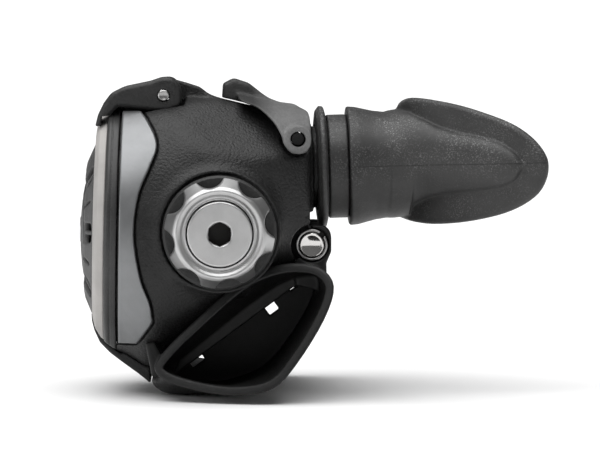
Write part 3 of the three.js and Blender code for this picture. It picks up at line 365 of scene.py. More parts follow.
def coil(name, start_radius, end_radius, turns, length, wire, matrix=PLAIN, along_y=None):
    """A coil spring of round wire along X, or along Y from along_y."""
    steps = turns * COIL_STEPS
    sides = WIRE_SIDES
    points = []
    for i in range(steps + 1):
        t = i / steps
        angle = t * turns * 2 * math.pi
        radius = start_radius + (end_radius - start_radius) * t
        out = np.array([0, math.cos(angle), math.sin(angle)])
        for k in range(sides):
            turn = k * 2 * math.pi / sides
            centre = np.array([t * length, 0, 0]) + out * radius
            points.append(centre + wire * (out * math.cos(turn) + np.array([1.0, 0, 0]) * math.sin(turn)))
    faces = []
    for i in range(steps):
        for k in range(sides):
            n = (k + 1) % sides
            faces.append((i * sides + k, i * sides + n, (i + 1) * sides + n, (i + 1) * sides + k))
    faces.append(tuple(range(sides))[::-1])
    faces.append(tuple(steps * sides + k for k in range(sides)))
    points = np.array(points)
    if along_y is not None:
        points = np.column_stack([-points[:, 1], points[:, 0] + along_y, points[:, 2]])
    return mesh_of(name, in_metres(points, matrix), faces, 60)


# ---- materials


class Nodes:
    """A short way to write a material's node tree."""

    def __init__(self, name):
        self.material = bpy.data.materials.new(name)
        self.material.use_nodes = True
        self.tree = self.material.node_tree
        self.shader = self.tree.nodes["Principled BSDF"]
        self.place = self.add("ShaderNodeTexCoord").outputs["Object"]

    def add(self, kind, links=None, **settings):
        node = self.tree.nodes.new(kind)
        for key, value in settings.items():
            if hasattr(node, key):
                setattr(node, key, value)
            else:
                node.inputs[key.replace("_", " ")].default_value = value
        for socket, source in (links or {}).items():
            self.tree.links.new(source, node.inputs[socket])
        return node

    def noise(self, scale, detail=2.0, roughness=0.5, place=None):
        made = self.add("ShaderNodeTexNoise", {"Vector": place or self.place}, Scale=scale, Detail=detail)
        made.inputs["Roughness"].default_value = roughness
        return made.outputs["Fac"]

    def ramp(self, value, low, high, to_low=0.0, to_high=1.0):
        made = self.add("ShaderNodeMapRange", {"Value": value})
        for socket, number in zip(("From Min", "From Max", "To Min", "To Max"), (low, high, to_low, to_high)):
            made.inputs[socket].default_value = number
        return made.outputs["Result"]

    def maths(self, operation, a, b):
        made = self.add("ShaderNodeMath", operation=operation)
        for socket, source in zip(made.inputs, (a, b)):
            if isinstance(source, (int, float)):
                socket.default_value = source
            else:
                self.tree.links.new(source, socket)
        return made.outputs[0]

    def blend(self, cloud, fine):
        """Mostly the cloudy noise, with some of the fine one."""
        return self.maths("ADD", self.maths("MULTIPLY", cloud, 0.6), self.maths("MULTIPLY", fine, 0.4))

    def mixed(self, factor, first, second):
        made = self.add("ShaderNodeMix", {"Factor": factor}, data_type="RGBA")
        for socket, colour in ((made.inputs[6], first), (made.inputs[7], second)):
            if isinstance(colour, tuple):
                socket.default_value = (*colour, 1)
            else:
                self.tree.links.new(colour, socket)
        return made.outputs[2]

    def set(self, **values):
        for key, value in values.items():
            socket = self.shader.inputs[key.replace("_", " ")]
            if isinstance(value, bpy.types.NodeSocket):
                self.tree.links.new(value, socket)
            else:
                socket.default_value = (*value, 1) if isinstance(value, tuple) else value

    def bump(self, height, strength, distance):
        made = self.add("ShaderNodeBump", {"Height": height})
        made.inputs["Strength"].default_value = strength
        made.inputs["Distance"].default_value = distance
        self.tree.links.new(made.outputs["Normal"], self.shader.inputs["Normal"])


def grey(value, warmth=0.0):
    """A linear colour from a display grey of 0 to 255, warmer or cooler by warmth."""
    linear = (value / 255) ** 2.2
    return (linear * (1 + warmth), linear, linear * (1 - warmth))


def up_facing(nodes):
    """1 where the surface faces up, -1 where it faces down."""
    normal = nodes.add("ShaderNodeNewGeometry").outputs["Normal"]
    return nodes.add("ShaderNodeSeparateXYZ", {0: normal}).outputs["Z"]


def moulded(
    name, dark, light, grain_scale=1500, grain=0.00012, roughness=0.5, strength=0.8, warmth=0.0, fade=None
):
    """Moulded plastic with a spark-eroded grain: fine bumps in two sizes, and a cloudy tone. A fade is the
    two places along X, in metres, between which the colour rises from its darkened to its full tone."""
    nodes = Nodes(name)
    cloud = nodes.noise(70, 3.0, 0.6)
    fine = nodes.noise(grain_scale, 2.0, 0.6)
    coarse = nodes.noise(grain_scale * 0.8, 1.0, 0.5)
    tone = nodes.ramp(nodes.blend(cloud, fine), 0.35, 0.65)
    colour = nodes.mixed(tone, grey(dark, warmth), grey(light, warmth))
    if fade:
        split = nodes.add("ShaderNodeSeparateXYZ", {0: nodes.place})
        colour = nodes.mixed(nodes.ramp(split.outputs["X"], *fade), grey(dark * 0.55, warmth), colour)
    nodes.set(Base_Color=colour, Roughness=nodes.ramp(fine, 0.3, 0.7, roughness - 0.07, roughness + 0.1))
    nodes.set(Specular_IOR_Level=0.32)
    height = nodes.maths("ADD", fine, nodes.maths("MULTIPLY", coarse, 0.8))
    nodes.bump(height, strength, grain)
    return nodes.material


SEAM_RISE = 0.2  # the parting line's height over the mouth tube's middle


def rubber(name, dark, light, dust=0.0, roughness=0.62, seam=False):
    """Soft moulded rubber. Dust settles as pale specks, most of all where the surface faces up, and a mould's
    parting line may run round its middle."""
    nodes = Nodes(name)
    cloud = nodes.noise(45, 4.0, 0.6)
    fine = nodes.noise(2600, 2.0, 0.6)
    colour = nodes.mixed(nodes.ramp(cloud, 0.35, 0.65), grey(dark, 0.01), grey(light, 0.01))
    rough = nodes.ramp(fine, 0.3, 0.7, roughness - 0.05, roughness + 0.1)
    if dust > 0:
        specks = nodes.ramp(nodes.noise(2400, 3.0, 0.8), 0.54, 0.66)
        where = nodes.ramp(up_facing(nodes), -0.35, 0.95, 0.12, 1.0)
        patches = nodes.ramp(nodes.noise(120, 3.0, 0.6), 0.35, 0.62)
        amount = nodes.maths("MULTIPLY", nodes.maths("MULTIPLY", specks, where), patches)
        colour = nodes.mixed(nodes.maths("MULTIPLY", amount, dust), colour, grey(205))
    if seam:
        level = nodes.add("ShaderNodeVectorMath", {0: nodes.place}, operation="DOT_PRODUCT")
        level.inputs[1].default_value = (math.tan(MOUTH_TILT), 0, 1)
        middle = (MOUTH_Z + SEAM_RISE + REAR_X * math.tan(MOUTH_TILT)) * MM
        away = nodes.maths("ABSOLUTE", nodes.maths("SUBTRACT", level.outputs["Value"], middle), 0)
        line = nodes.ramp(away, 0.08 * MM, 0.2 * MM, 0.6, 0.0)
        colour = nodes.mixed(line, colour, grey(14))
    nodes.set(Base_Color=colour, Roughness=rough)
    nodes.bump(nodes.maths("ADD", fine, nodes.noise(900, 2.0)), 0.5, 0.00006)
    return nodes.material


def metal(name, tone, warmth=0.0, roughness=0.28, grain_scale=2500, grain=0.00002, metallic=1.0, spread=0.1):
    """Bare or plated metal, faintly blasted, with cloudy handling marks in its gloss."""
    nodes = Nodes(name)
    cloud = nodes.noise(90, 4.0, 0.6)
    fine = nodes.noise(grain_scale, 3.0, 0.65)
    colour = nodes.mixed(nodes.ramp(cloud, 0.35, 0.65), grey(tone * 0.94, warmth), grey(tone * 1.03, warmth))
    nodes.set(Base_Color=colour, Metallic=metallic)
    nodes.set(Roughness=nodes.ramp(nodes.blend(cloud, fine), 0.3, 0.7, roughness, roughness + spread))
    nodes.bump(fine, 0.4, grain)
    return nodes.material


def silicone(name):
    """Milky, half-matt silicone."""
    nodes = Nodes(name)
    cloud = nodes.noise(60, 3.0, 0.5)
    nodes.set(Base_Color=nodes.mixed(nodes.ramp(cloud, 0.3, 0.7), grey(120, 0.03), grey(150, 0.03)))
    nodes.set(Roughness=nodes.ramp(cloud, 0.3, 0.7, 0.4, 0.52))
    nodes.bump(nodes.noise(900, 2.0), 0.3, 0.00005)
    return nodes.material


# Each look: its material, and the name of its slot.
LOOKS = {
    "case": (moulded("black_nylon_case", 22, 44, 1700, 0.0002, 0.44, 1.0), "black_nylon"),
    "nylon": (moulded("black_nylon", 34, 52, 1600, 0.00014, 0.46), "black_nylon"),
    "dark": (moulded("dark_plastic", 34, 50, 2200, 0.00006, 0.42, 0.6), "dark_plastic"),
    "tee": (moulded("exhaust_tee_plastic", 20, 31, 2000, 0.00006, 0.5, 0.6), "dark_plastic"),
    "rim": (moulded("cover_rim_plastic", 46, 66, 2200, 0.00006, 0.4, 0.6), "dark_plastic"),
    "grille": (moulded("grille_plastic", 62, 88, 1600, 0.0001, 0.5), "grey_plastic"),
    "lever": (moulded("lever_plastic", 92, 116, 1500, 0.00014, fade=(0.009, 0.015)), "grey_plastic"),
    "panel": (metal("gunmetal_panel", 128, -0.02, 0.34, 1300, 0.00006, 0.75, 0.14), "gunmetal"),
    "trim": (metal("warm_grey_trim", 166, 0.035, 0.5, 2500, 0.00002, 0.1), "warm_grey_metal"),
    "satin": (metal("satin_metal", 186, 0.0, 0.36, 2600, 0.00003, 1.0, 0.1), "satin_metal"),
    "chrome": (metal("chrome", 205, 0.02, 0.07, 700, 0.00001, 1.0, 0.06), "chromed_brass"),
    # painted shade: a dark material for the walls and floor of the knob cap's hex socket, in place of the
    # shade in that recess
    "socket_shade": (moulded("socket_painted_shade", 20, 34, 900, 0.00004, 0.6, 0.4, 0.12), "dark_plastic"),
    "steel": (metal("stainless_steel", 160, 0.01, 0.25, 1800, 0.00002, 1.0, 0.12), "stainless_steel"),
    "mouth": (rubber("mouthpiece_rubber", 38, 56, 0.5, 0.52, seam=True), "mouthpiece_rubber"),
    "band": (rubber("band_rubber", 38, 50, 0.35, 0.5), "dark_plastic"),
    "black_rubber": (rubber("black_rubber", 26, 36, 0.0, 0.5), "black_rubber"),
    "silicone": (silicone("clear_silicone"), "clear_silicone"),
}


def dress(made, look, body, *nodes):
    """Gives a piece its material, and makes it ride on a body in place of its CAD nodes."""
    material, slot = LOOKS[look]
    made.data.materials.clear()
    made.data.materials.append(material)
    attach(made, body)
    if nodes:
        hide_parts(*nodes)
    return made


def profile_on_axis(corners):
    """Rounds a profile whose two ends lie on its axis."""
    outline = rounded([*corners, (-50, corners[-1][1]), (-50, corners[0][1])])
    return [p for p in outline if p[0] > -1e-6]


def turned(name, profile, look, body, node, axis="y", matrix=PLAIN, sides=64, **shape):
    """A dressed turned piece in place of one CAD node."""
    dress(revolved(name, profile, axis, matrix, sides=sides, **shape), look, body, node)


# ---- case

# The cheek plate's waved rear edge in X and Z, from the top, and its bottom.
PANEL_WAVE = [(-20.7, 31.2), (-19.1, 29.1), (-16.9, 24.8), (-16.4, 21.4), (-18.1, 16.8), (-21.2, 9.0)]
PANEL_WAVE += [(-22.3, -1.0), (-20.7, -12.0), (-18.4, -18.4), (-17.7, -22.4)]
PANEL_BOTTOM = [(-17.9, -24.6), (-21.8, -30.0)]
PANEL_TOP_Z, PANEL_BOTTOM_Z, PANEL_FRONT_GAP = 31.2, -30.2, 0.6


def panel_outline():
    """The cheek plate's outline in X and Z."""
    above, far = (-22.3, 33.3), (-60, -30)  # these two only steer the curve's ends
    steps = 6
    wave = smooth_closed([*PANEL_WAVE, *PANEL_BOTTOM, far, above], steps)[: steps * len(PANEL_WAVE)]
    front = FRONT_X + PANEL_FRONT_GAP
    top = (front + 31 * math.tan(FRONT_LEAN), PANEL_TOP_Z)
    bottom = (front - 29 * math.tan(FRONT_LEAN), PANEL_BOTTOM_Z)
    return np.array([top, *wave, *PANEL_BOTTOM, bottom])


HINGE_LUG = [
    (HINGE_X - 4.2, 29), (HINGE_X - 4.2, HINGE_Z + 4.0, 3.9), (HINGE_X + 2.5, HINGE_Z + 4.3, 3.0),
    (-8.6, 38.6, 2), (-5.2, 37.5, 2), (-2.4, 35.4, 1.5), (0.5, 33.5), (0.5, 29),
]
TEE_LUG = [(17, -10.5), (TEE_PIN_X + 2.2, TEE_PIN_Z - 3.6, 3)]
TEE_LUG += [(TEE_PIN_X + 3.9, TEE_PIN_Z + 3.7, 3.6), (17, -0.4)]


def hinge_pocket(grid):
    """Room in the case's roof for the hinge's two cheeks, rounded behind the pin."""
    beside = slab(np.abs(grid.y), HINGE_LUG_HALF_WIDTH, HINGE_HALF_WIDTH + 0.4)
    reach = np.hypot(grid.x - HINGE_X, grid.z - HINGE_Z) - HINGE_SWEEP_RADIUS
    ahead = common(grid.x - HINGE_X, HINGE_POCKET_FLOOR - grid.z)
    return common(beside, np.minimum(reach, ahead))


BOSS_RADIUS, BOSS_ROOT = 16.0, 20.0
TEE_LUG_HALF_WIDTH = 12.0
CAVITY_FRONT, ROOF_REAR, ROOF_HALF_WIDTH = -20.6, -7.2, 16.6
COVER_SEAT_RADIUS, COVER_SEAT_DEPTH = 30.0, 3.0
SHEET_ROOM_RADIUS, SHEET_ROOM_DEPTH = 26.5, 8.0
LEVER_SEAT_RADIUS, LEVER_SEAT_DEPTH = 4.5, 1.1
SPOKE_COUNT, SPOKE_HALF_WIDTH, SPOKE_LOW, SPOKE_HIGH = 3, 0.9, -1.6, -0.2
HUB_RADIUS, STEM_HOLE_RADIUS = 3.0, 1.35


def case_outside(grid, skin, m, h):
    """The case before it's hollowed: its skin with the barrel's bosses, the lugs and the mouth tube's collar.
    m and h are along the mouth tube and up across it."""
    x, y, z = grid.x, grid.y, grid.z
    solid = edged(skin, x - REAR_X, 2.2)
    panel_room = common(outline_distance(panel_outline(), x, z) - 0.45, -0.9 - skin, 4 - y)
    solid = cut(solid, panel_room, 0.25)
    boss = edged(np.hypot(x, z) - BOSS_RADIUS, slab(y, BOSS_ROOT, BOSS_FACE + 0.25), 0.4)
    solid = blend_union(solid, boss, 3.5)
    lug = edged(outline_distance(rounded(HINGE_LUG), x, z), y - HINGE_LUG_HALF_WIDTH, 0.9)
    solid = blend_union(solid, lug, 1.6)
    tee_lug = edged(outline_distance(rounded(TEE_LUG), x, z), y - TEE_LUG_HALF_WIDTH, 0.5)
    solid = blend_union(solid, tee_lug, 0.8)
    collar = edged(superellipse_distance(y, h, *MOUTH_COLLAR, MOUTH_SQUARENESS), slab(m, -4, 1), 0.4)
    return blend_union(solid, collar, 1.2)


def exhaust_spokes(y, e, w):
    """The hub and spokes that hold the exhaust valve's stem, across the port."""
    from_port = np.hypot(y, e)
    turn = sector(np.arctan2(e, y), 2 * math.pi / SPOKE_COUNT)
    spoke = common(np.abs(from_port * np.sin(turn)) - SPOKE_HALF_WIDTH, from_port - PORT_RADIUS - 1.5)
    spokes = edged(np.minimum(spoke, from_port - HUB_RADIUS), slab(w, SPOKE_LOW, SPOKE_HIGH), 0.25)
    return common(spokes, STEM_HOLE_RADIUS - from_port)


def make_case():
    grid = Grid((-28.1, 0, -42), (40.6, 35.4, 40.8), 0.36, mirrored=True)
    x, y, z = grid.x, grid.y, grid.z
    a, r = inside_frame(FRONT, x, z)
    m, h = inside_frame(MOUTH, x, z)
    e, w = inside_frame(EXHAUST, x, z)
    from_front_axis = np.hypot(y, r)
    from_port = np.hypot(y, e)
    from_tee_pin = np.hypot(x - TEE_PIN_X, z - TEE_PIN_Z)
    skin = faceted_skin(grid)
    solid = case_outside(grid, skin, m, h)

    cavity = common(skin + WALL, slab(x, CAVITY_FRONT, REAR_X - WALL))
    roof = common(slab(x, -30, ROOF_REAR), y - ROOF_HALF_WIDTH, HINGE_POCKET_FLOOR - WALL - z)
    solid = cut(solid, common(cavity, -roof), 0.8)
    pad = edged(from_tee_pin - EAR_PAD_RADIUS, slab(y, EAR_PAD_ROOT, EAR_PAD_END), 0.4)
    solid = np.minimum(solid, common(pad, common(x - REAR_X, skin) + 0.1))
    solid = np.minimum(solid, edged(from_port - PORT_BOSS_RADIUS, slab(w, -2.4, 0.8), 0.3))
    tube = superellipse_distance(y, h, *MOUTH_TUBE, MOUTH_SQUARENESS)
    solid = np.minimum(solid, edged(tube, slab(m, -2, MOUTH_TUBE_END), 0.5))

    solid = blend_common(solid, 0.05 - a, 0.2)
    solid = cut(solid, common(from_front_axis - COVER_SEAT_RADIUS, a - COVER_SEAT_DEPTH))
    solid = cut(solid, common(from_front_axis - SHEET_ROOM_RADIUS, a - SHEET_ROOM_DEPTH))
    solid = cut(solid, hinge_pocket(grid), 0.5)
    solid = cut(solid, common(from_tee_pin - EAR_RADIUS - 0.4, TEE_LUG_HALF_WIDTH - y), 0.4)
    solid = cut(solid, common(np.hypot(x, z) - (KNOB_RADIUS + 0.5), BOSS_FACE - y), 0.3)
    from_lever_shaft = np.hypot(x - VENTURI_X, z - VENTURI_Z)
    lever_seat = common(from_lever_shaft - LEVER_SEAT_RADIUS, -LEVER_SEAT_DEPTH - skin)
    solid = cut(solid, common(lever_seat, 8 - y), 0.4)
    holes = [
        (HINGE_X, HINGE_Z, HINGE_PIN_RADIUS + 0.25),
        (TEE_PIN_X, TEE_PIN_Z, TEE_PIN_RADIUS + 0.25),
        (VENTURI_X, VENTURI_Z, VENTURI_SHAFT_RADIUS),
        (0, 0, BARREL_RADIUS + GAP),
    ]
    for hole_x, hole_z, radius in holes:
        solid = cut(solid, np.hypot(x - hole_x, z - hole_z) - radius, 0.3)
    solid = cut(solid, common(from_port - PORT_RADIUS, slab(w, -9, 3)), 0.3)
    airway = superellipse_distance(y, h, *MOUTH_AIRWAY, MOUTH_SQUARENESS)
    solid = cut(solid, common(airway, slab(m, -6, MOUTH_TUBE_END + 1)), 0.4)
    return surface_of("case_shell", grid, np.minimum(solid, exhaust_spokes(y, e, w)))


def make_panel(name, side):
    """A cheek plate that lies in the case's skin and stands a little proud of it."""
    grid = Grid((-28.1, 4, -31.4), (-15.0, 35.6, 32.4), 0.26)
    skin = faceted_skin(grid)
    outline = outline_distance(panel_outline(), grid.x, grid.z)
    plate = edged(outline, common(skin - 1.15, -0.55 - skin), 0.45)
    made = surface_of(name, grid, common(plate, 4.3 - grid.y))
    if side < 0:
        mirror_across_y(made)
    return made


def mirror_across_y(made):
    """Mirrors a piece in the part's frame across the middle plane of the case."""
    middle = -INLET_END * MM
    mesh = made.data
    points = np.empty(len(mesh.vertices) * 3)
    mesh.vertices.foreach_get("co", points)
    points = points.reshape(-1, 3)
    points[:, 1] = 2 * middle - points[:, 1]
    mesh.vertices.foreach_set("co", points.ravel())
    mesh.flip_normals()
    mesh.update()


dress(make_case(), "case", "case", "case")
for panel_name, panel_side in (("side_panel_left", -1), ("side_panel_right", 1)):
    dress(make_panel(panel_name + "_plate", panel_side), "panel", "case", panel_name)


# ---- front cover


def ringed(grid, profile):
    """Distance to a profile of (radius, along) revolved about the grid's X axis."""
    return outline_distance(profile, np.hypot(grid.y, grid.z), grid.x + 0 * grid.y)


TRIM_PROFILE = rounded(
    [(24.9, -6.4, 0.25), (27.6, -6.4, 0.9), (30.3, -5.4, 1.2), (31.4, -3.4, 0.25), (30.2, -2.9)]
    + [(24.9, -5.4, 0.2)]
)

# In X and Z: the clasp laps round the cover's lowest corner, which is cut back for it along this line.
CLASP_LINE = [(-34.0, -21.5), (-33.8, -22.8), (-33.1, -26.0), (-31.5, -29.0), (-28.6, -31.7), (-25.9, -33.5)]


def clasp_room(grid):
    """The cover's corner that the clasp takes the place of, for a grid in the cover's frame."""
    x = FRONT_X + grid.x * math.cos(FRONT_LEAN) + grid.z * math.sin(FRONT_LEAN)
    z = FRONT_Z - grid.x * math.sin(FRONT_LEAN) + grid.z * math.cos(FRONT_LEAN)
    corner = [*CLASP_LINE, (-25.9, -45), (-45, -45), (-45, -21.5)]
    return outline_distance(np.array(corner), x, z) + 0 * grid.y


def make_trim():
    grid = Grid((-6.9, -31.9, -31.9), (-2.4, 31.9, 31.9), 0.22)
    return surface_of("trim", grid, cut(ringed(grid, TRIM_PROFILE), clasp_room(grid), 0.2), FRONT, 40)


RIM_PROFILE = rounded(
    [(25.5, -0.05), (25.5, -1.5), (30.6, -1.5), (30.6, -3.0, 0.2), (31.8, -3.3, 0.3), (32.6, -3.3, 0.8)]
    + [(33.3, -2.6, 0.6), (33.3, -2.0), (33.0, -1.75), (33.3, -1.5), (33.3, -0.05, 0.2)]
)


def make_cover_rim():
    grid = Grid((-5.2, -33.9, -33.9), (0.3, 33.9, 33.9), 0.27)
    rim = ringed(grid, RIM_PROFILE)
    notch = common(np.abs(grid.y) - CLASP_HALF_WIDTH - GAP, grid.z + 29.8)
    rim = cut(rim, np.minimum(notch + 0 * rim, clasp_room(grid)), 0.3)
    return surface_of("cover_rim", grid, rim, FRONT, 40)


GRILLE_PROFILE = [
    (13.9, -8.6, 0.3), (15.1, -8.9, 0.6), (16.9, -9.1, 1.0), (18.6, -8.75), (21.6, -7.45, 1.5),
    (23.2, -6.7), (23.5, -6.2), (23.9, -6.4), (24.6, -6.0, 0.3), (24.5, -4.9), (29.5, -2.6), (29.5, -1.8),
    (24.2, -4.2), (20.6, -6.1), (17.2, -7.4), (13.9, -7.3),
]

VENT_COUNT, VENT_HALF_WIDTH, VENT_INNER, VENT_OUTER = 8, 2.6, 15.8, 22.6
WINDOW_COUNT, WINDOW_RADIUS, WINDOW_CENTRE, RETAINER_RADIUS = 6, 4.2, 16.5, 25.0


def make_grille():
    """A domed grille with vents round the button, each with a set-back rib across it and grooves between."""
    grid = Grid((-9.8, -30, -30), (-1.2, 30, 30), 0.27)
    profile = rounded(GRILLE_PROFILE)
    dome = ringed(grid, profile)
    radius = np.hypot(grid.y, grid.z)
    share = 2 * math.pi / VENT_COUNT
    turn = sector(np.arctan2(grid.y, grid.z), share)
    across = radius * np.sin(turn)
    out = radius * np.cos(turn)
    vent = edged(np.abs(across) - VENT_HALF_WIDTH, slab(out, VENT_INNER, VENT_OUTER), 1.6)
    dome = cut(dome, vent, 0.5)
    set_back = outline_distance(profile + np.array([0, 0.5]), radius, grid.x + 0 * radius)
    rib = common(np.abs(across) - 0.5, set_back, vent - 0.4)
    dome = np.minimum(dome, rib)
    between = np.abs(np.abs(turn) - share / 2) * radius - 0.45
    groove = edged(between, slab(radius, 16.6, 21.6), 0.4)
    dome = cut(dome, common(groove, grid.x + 9.6 - 0.42 * np.abs(radius - 14)), 0.3)
    return surface_of("grille", grid, dome, FRONT)


def make_retainer():
    """The disc with round windows that the purge spring stands on."""
    grid = Grid((-1.9, -25.4, -25.4), (0.0, 25.4, 25.4), 0.3)
    radius = np.hypot(grid.y, grid.z)
    share = 2 * math.pi / WINDOW_COUNT
    turn = sector(np.arctan2(grid.y, grid.z) - share / 2, share)
    window = np.hypot(radius * np.sin(turn), radius * np.cos(turn) - WINDOW_CENTRE) - WINDOW_RADIUS
    disc = edged(common(radius - RETAINER_RADIUS, 4.2 - radius), slab(grid.x, -1.5, -0.4), 0.3)
    return surface_of("spring_retainer", grid, cut(disc, window, 0.4), FRONT)


BUTTON_PROFILE = profile_on_axis(
    [
        (0, -9.6), (3.7, -9.6), (3.9, -10.3, 0.3), (5.4, -10.25), (8.2, -10.0), (8.5, -9.6, 0.2),
        (9.3, -9.5, 0.2), (9.7, -9.85, 0.2), (12.0, -9.45, 0.8), (13.4, -8.9, 0.7), (13.4, -6.8),
        (14.8, -6.8, 0.2), (14.8, -6.0, 0.2), (12.2, -6.0), (12.2, -7.8), (8, -8.2), (3.4, -8.4),
        (3.4, 1, 0.5),
        (0, 1),
    ]
)


def finger_ridges(angle, radius, along):
    """Fine ridges across the button's outer ring."""
    return radius + 0.05 * math.cos(48 * angle) if 9.9 < radius < 12.3 and along < -9.2 else radius


BADGE_PROFILE = profile_on_axis(
    [(0, -10.35), (2.1, -10.35, 0.2), (2.4, -10.6, 0.15), (3.3, -10.6, 0.15), (3.5, -10.3), (3.5, -9.8)]
    + [(0, -9.8)]
)
DIAPHRAGM_PROFILE = profile_on_axis(
    [(0, 2), (18.5, 2, 1), (20.5, 4.6, 1), (23.5, 4.6, 1), (25.6, 1.8, 0.5), (29.6, 1.8), (29.6, 2.7)]
    + [(26.1, 2.7, 0.6), (24, 5.4, 1), (20, 5.4, 1), (18, 2.8, 1), (0, 2.8)]
)
DISC_PROFILE = profile_on_axis([(0, 3.1), (16.8, 3.1, 0.2), (16.8, 3.7, 0.2), (0, 3.7)])
CLAMP_RING_PROFILE = rounded([(26.5, 0.45, 0.25), (29.6, 0.45, 0.25), (29.6, 1.5, 0.2), (26.5, 1.5, 0.2)])
SPRING_PLACE = FRONT @ Matrix.Translation((-6.7, 0, 0))

dress(make_cover_rim(), "rim", "cover", "cover_ring")
dress(make_trim(), "trim", "cover", "trim_ring")
dress(make_grille(), "grille", "cover", "front_grille")
dress(make_retainer(), "nylon", "cover", "purge_retainer")
button_shape = {"sides": 192, "ripple": finger_ridges, "smooth_angle": 40}
turned("button", BUTTON_PROFILE, "dark", "purge", "purge_button", "x", FRONT, **button_shape)
turned("badge", BADGE_PROFILE, "satin", "purge", "purge_badge", "x", FRONT)
button_spring = coil("spring_under_button", 10.8, 7.4, 4, 4.4, 0.45, SPRING_PLACE)
dress(button_spring, "steel", "cover", "purge_spring")
turned("diaphragm_sheet", DIAPHRAGM_PROFILE, "silicone", "case", "diaphragm", "x", FRONT, 128)
turned("disc_on_diaphragm", DISC_PROFILE, "steel", "diaphragm_plate", "diaphragm_disc", "x", FRONT, 96)
turned("clamp_ring", CLAMP_RING_PROFILE, "dark", "case", "diaphragm_clamp_ring", "x", FRONT, 128)


# ---- cover hinge and clasp

BRIDGE_OUTLINE = [
    (-32.9, 27.0, 0.5), (-32.1, 30.2, 3), (-30.6, 33.3, 4), (-28.6, 36.0, 4), (-25.2, 37.7, 5),
    (-18.5, 39.1, 5), (-15.6, 40.1, 5), (-12.6, 40.3, 3), (-9.9, 38.0, 3.5), (-9.9, 32.6, 3.5),
    (-12.6, 30.9, 2.5), (-16.4, 31.0), (-24.5, 32.2), (-26.8, 32.2), (-31.4, 27.2, 0.4),
]


def ring_room(grid):
    """Room for the cover's rings, which the hinge's arm laps round."""
    a, r = inside_frame(FRONT, grid.x, grid.z)
    radius = np.hypot(grid.y, r)
    rim = common(radius - 33.6, slab(a, -5.0, 0.3))
    face = common(radius - 29.1, slab(a, -6.6, 0))
    return np.minimum(rim, face)


def make_bridge():
    """The hinge's arm, forked at its rear round the case's lug."""
    grid = Grid((-33.6, 0, 26), (-9.2, 14.6, 41), 0.22, mirrored=True)
    x, y, z = grid.x, grid.y, grid.z
    bridge = edged(outline_distance(rounded(BRIDGE_OUTLINE), x, z), y - HINGE_HALF_WIDTH, 1.5)
    bridge = cut(bridge, ring_room(grid), 0.3)
    slot_half = HINGE_LUG_HALF_WIDTH + GAP
    bridge = cut(bridge, common(y - slot_half, HINGE_X - 5.1 - x) + 0 * z, 0.6)
    bridge = cut(bridge, common(case_skin(grid) - GAP, y - slot_half), 0.3)
    pin_hole = np.hypot(x - HINGE_X, z - HINGE_Z) - HINGE_PIN_RADIUS - 0.12
    return surface_of("hinge_arm", grid, cut(bridge, pin_hole, 0.3))


CLASP_OUTLINE = [
    (-34.2, -22.4, 0.1), (-34.0, -25.0), (-33.4, -27.4, 3), (-31.9, -30.7, 3), (-29.3, -33.4, 3),
    (-26.2, -35.8, 4), (-21.5, -39.2, 4), (-18.2, -41.9, 0.5), (-18.5, -37.0, 0.3), (-25.5, -32.6),
    *[(x - 0.15, z - 0.15) for x, z in CLASP_LINE[:0:-1]],
]


def make_clasp():
    grid = Grid((-34.6, 0, -42.4), (-17.8, 9.6, -21.8), 0.2, mirrored=True)
    clasp = edged(outline_distance(rounded(CLASP_OUTLINE), grid.x, grid.z), grid.y - CLASP_HALF_WIDTH, 0.5)
    case_room = common(case_skin(grid) - 0.1, FRONT_X - 0.6 - grid.x)
    return surface_of("clasp", grid, cut(clasp, case_room, 0.3))


dress(make_bridge(), "nylon", "cover", "hinge_bridge")
dress(make_clasp(), "nylon", "cover", "bottom_clasp")
HINGE_PIN_PROFILE = profile_on_axis(
    [(0, -14.0), (0.5, -14.0), (1.2, -14.35, 0.2), (1.5, -14.1, 0.2), (1.5, 14.1, 0.2), (1.2, 14.35, 0.2)]
    + [(0.5, 14.0), (0, 14.0)]
)
HINGE_AXIS = {"centre": (HINGE_X, 0, HINGE_Z)}
turned("pin_of_cover", HINGE_PIN_PROFILE, "steel", "case", "cover_hinge_pin", sides=40, **HINGE_AXIS)


# ---- air valve

THREAD_PITCH, THREAD_STEP, THREAD_DEPTH, THREAD_RADIUS = 1.3, 0.11, 0.62, 7.15
THREAD_START, THREAD_END = 36.6, 44.2
HEX_HALF_FLATS, NUT_HALF_FLATS = 10.5, 8.92

BARREL_PROFILE = [
    *[(5.3, -35), (7.5, -35), (7.7, -34.8), (7.7, 32.6), (11.1, 32.6), (11.4, 32.8), (11.4, 33.4)],
    *[(12.0, 33.4), (12.0, 33.55), (12.0, 35.6), (11.3, 36), (6.7, 36)],
    *[(THREAD_RADIUS, row) for row in np.arange(THREAD_START, THREAD_END, THREAD_STEP)],
    *[(6.9, THREAD_END + 0.15), (6.75, 44.6), (6.5, 45), (4.7, 45), (4.4, 44.7), (4.4, 33.5), (5.3, 33.5)],
]
NUT_PROFILE = [(7.95, -35.2), (9.6, -35.2), (10.3, -34.8), (10.3, -33), (9.6, -32.6), (7.95, -32.6)]


def hexagon_and_thread(angle, radius, along):
    """The inlet's hexagon, and the thread's helix."""
    if radius > 11 and 33.39 < along < 36.1:
        return min(radius, HEX_HALF_FLATS / math.cos(sector(angle, math.pi / 3)))
    if radius == THREAD_RADIUS:
        phase = (along / THREAD_PITCH - angle / (2 * math.pi)) % 1
        return radius - THREAD_DEPTH * (1 - min(1.0, 2.6 * abs(phase - 0.5)))
    return radius


def nut_flats(angle, radius, along):
    """The nut's six flats, outside its bore."""
    return min(radius, NUT_HALF_FLATS / math.cos(sector(angle, math.pi / 3))) if radius > 8.5 else radius


def seal(name, centre_radius, wire, along, body, node):
    angles = [k * math.pi / 8 for k in range(16)]
    ring = [(centre_radius + wire * math.cos(angle), along + wire * math.sin(angle)) for angle in angles]
    turned(name, ring, "black_rubber", body, node, smooth_angle=80)


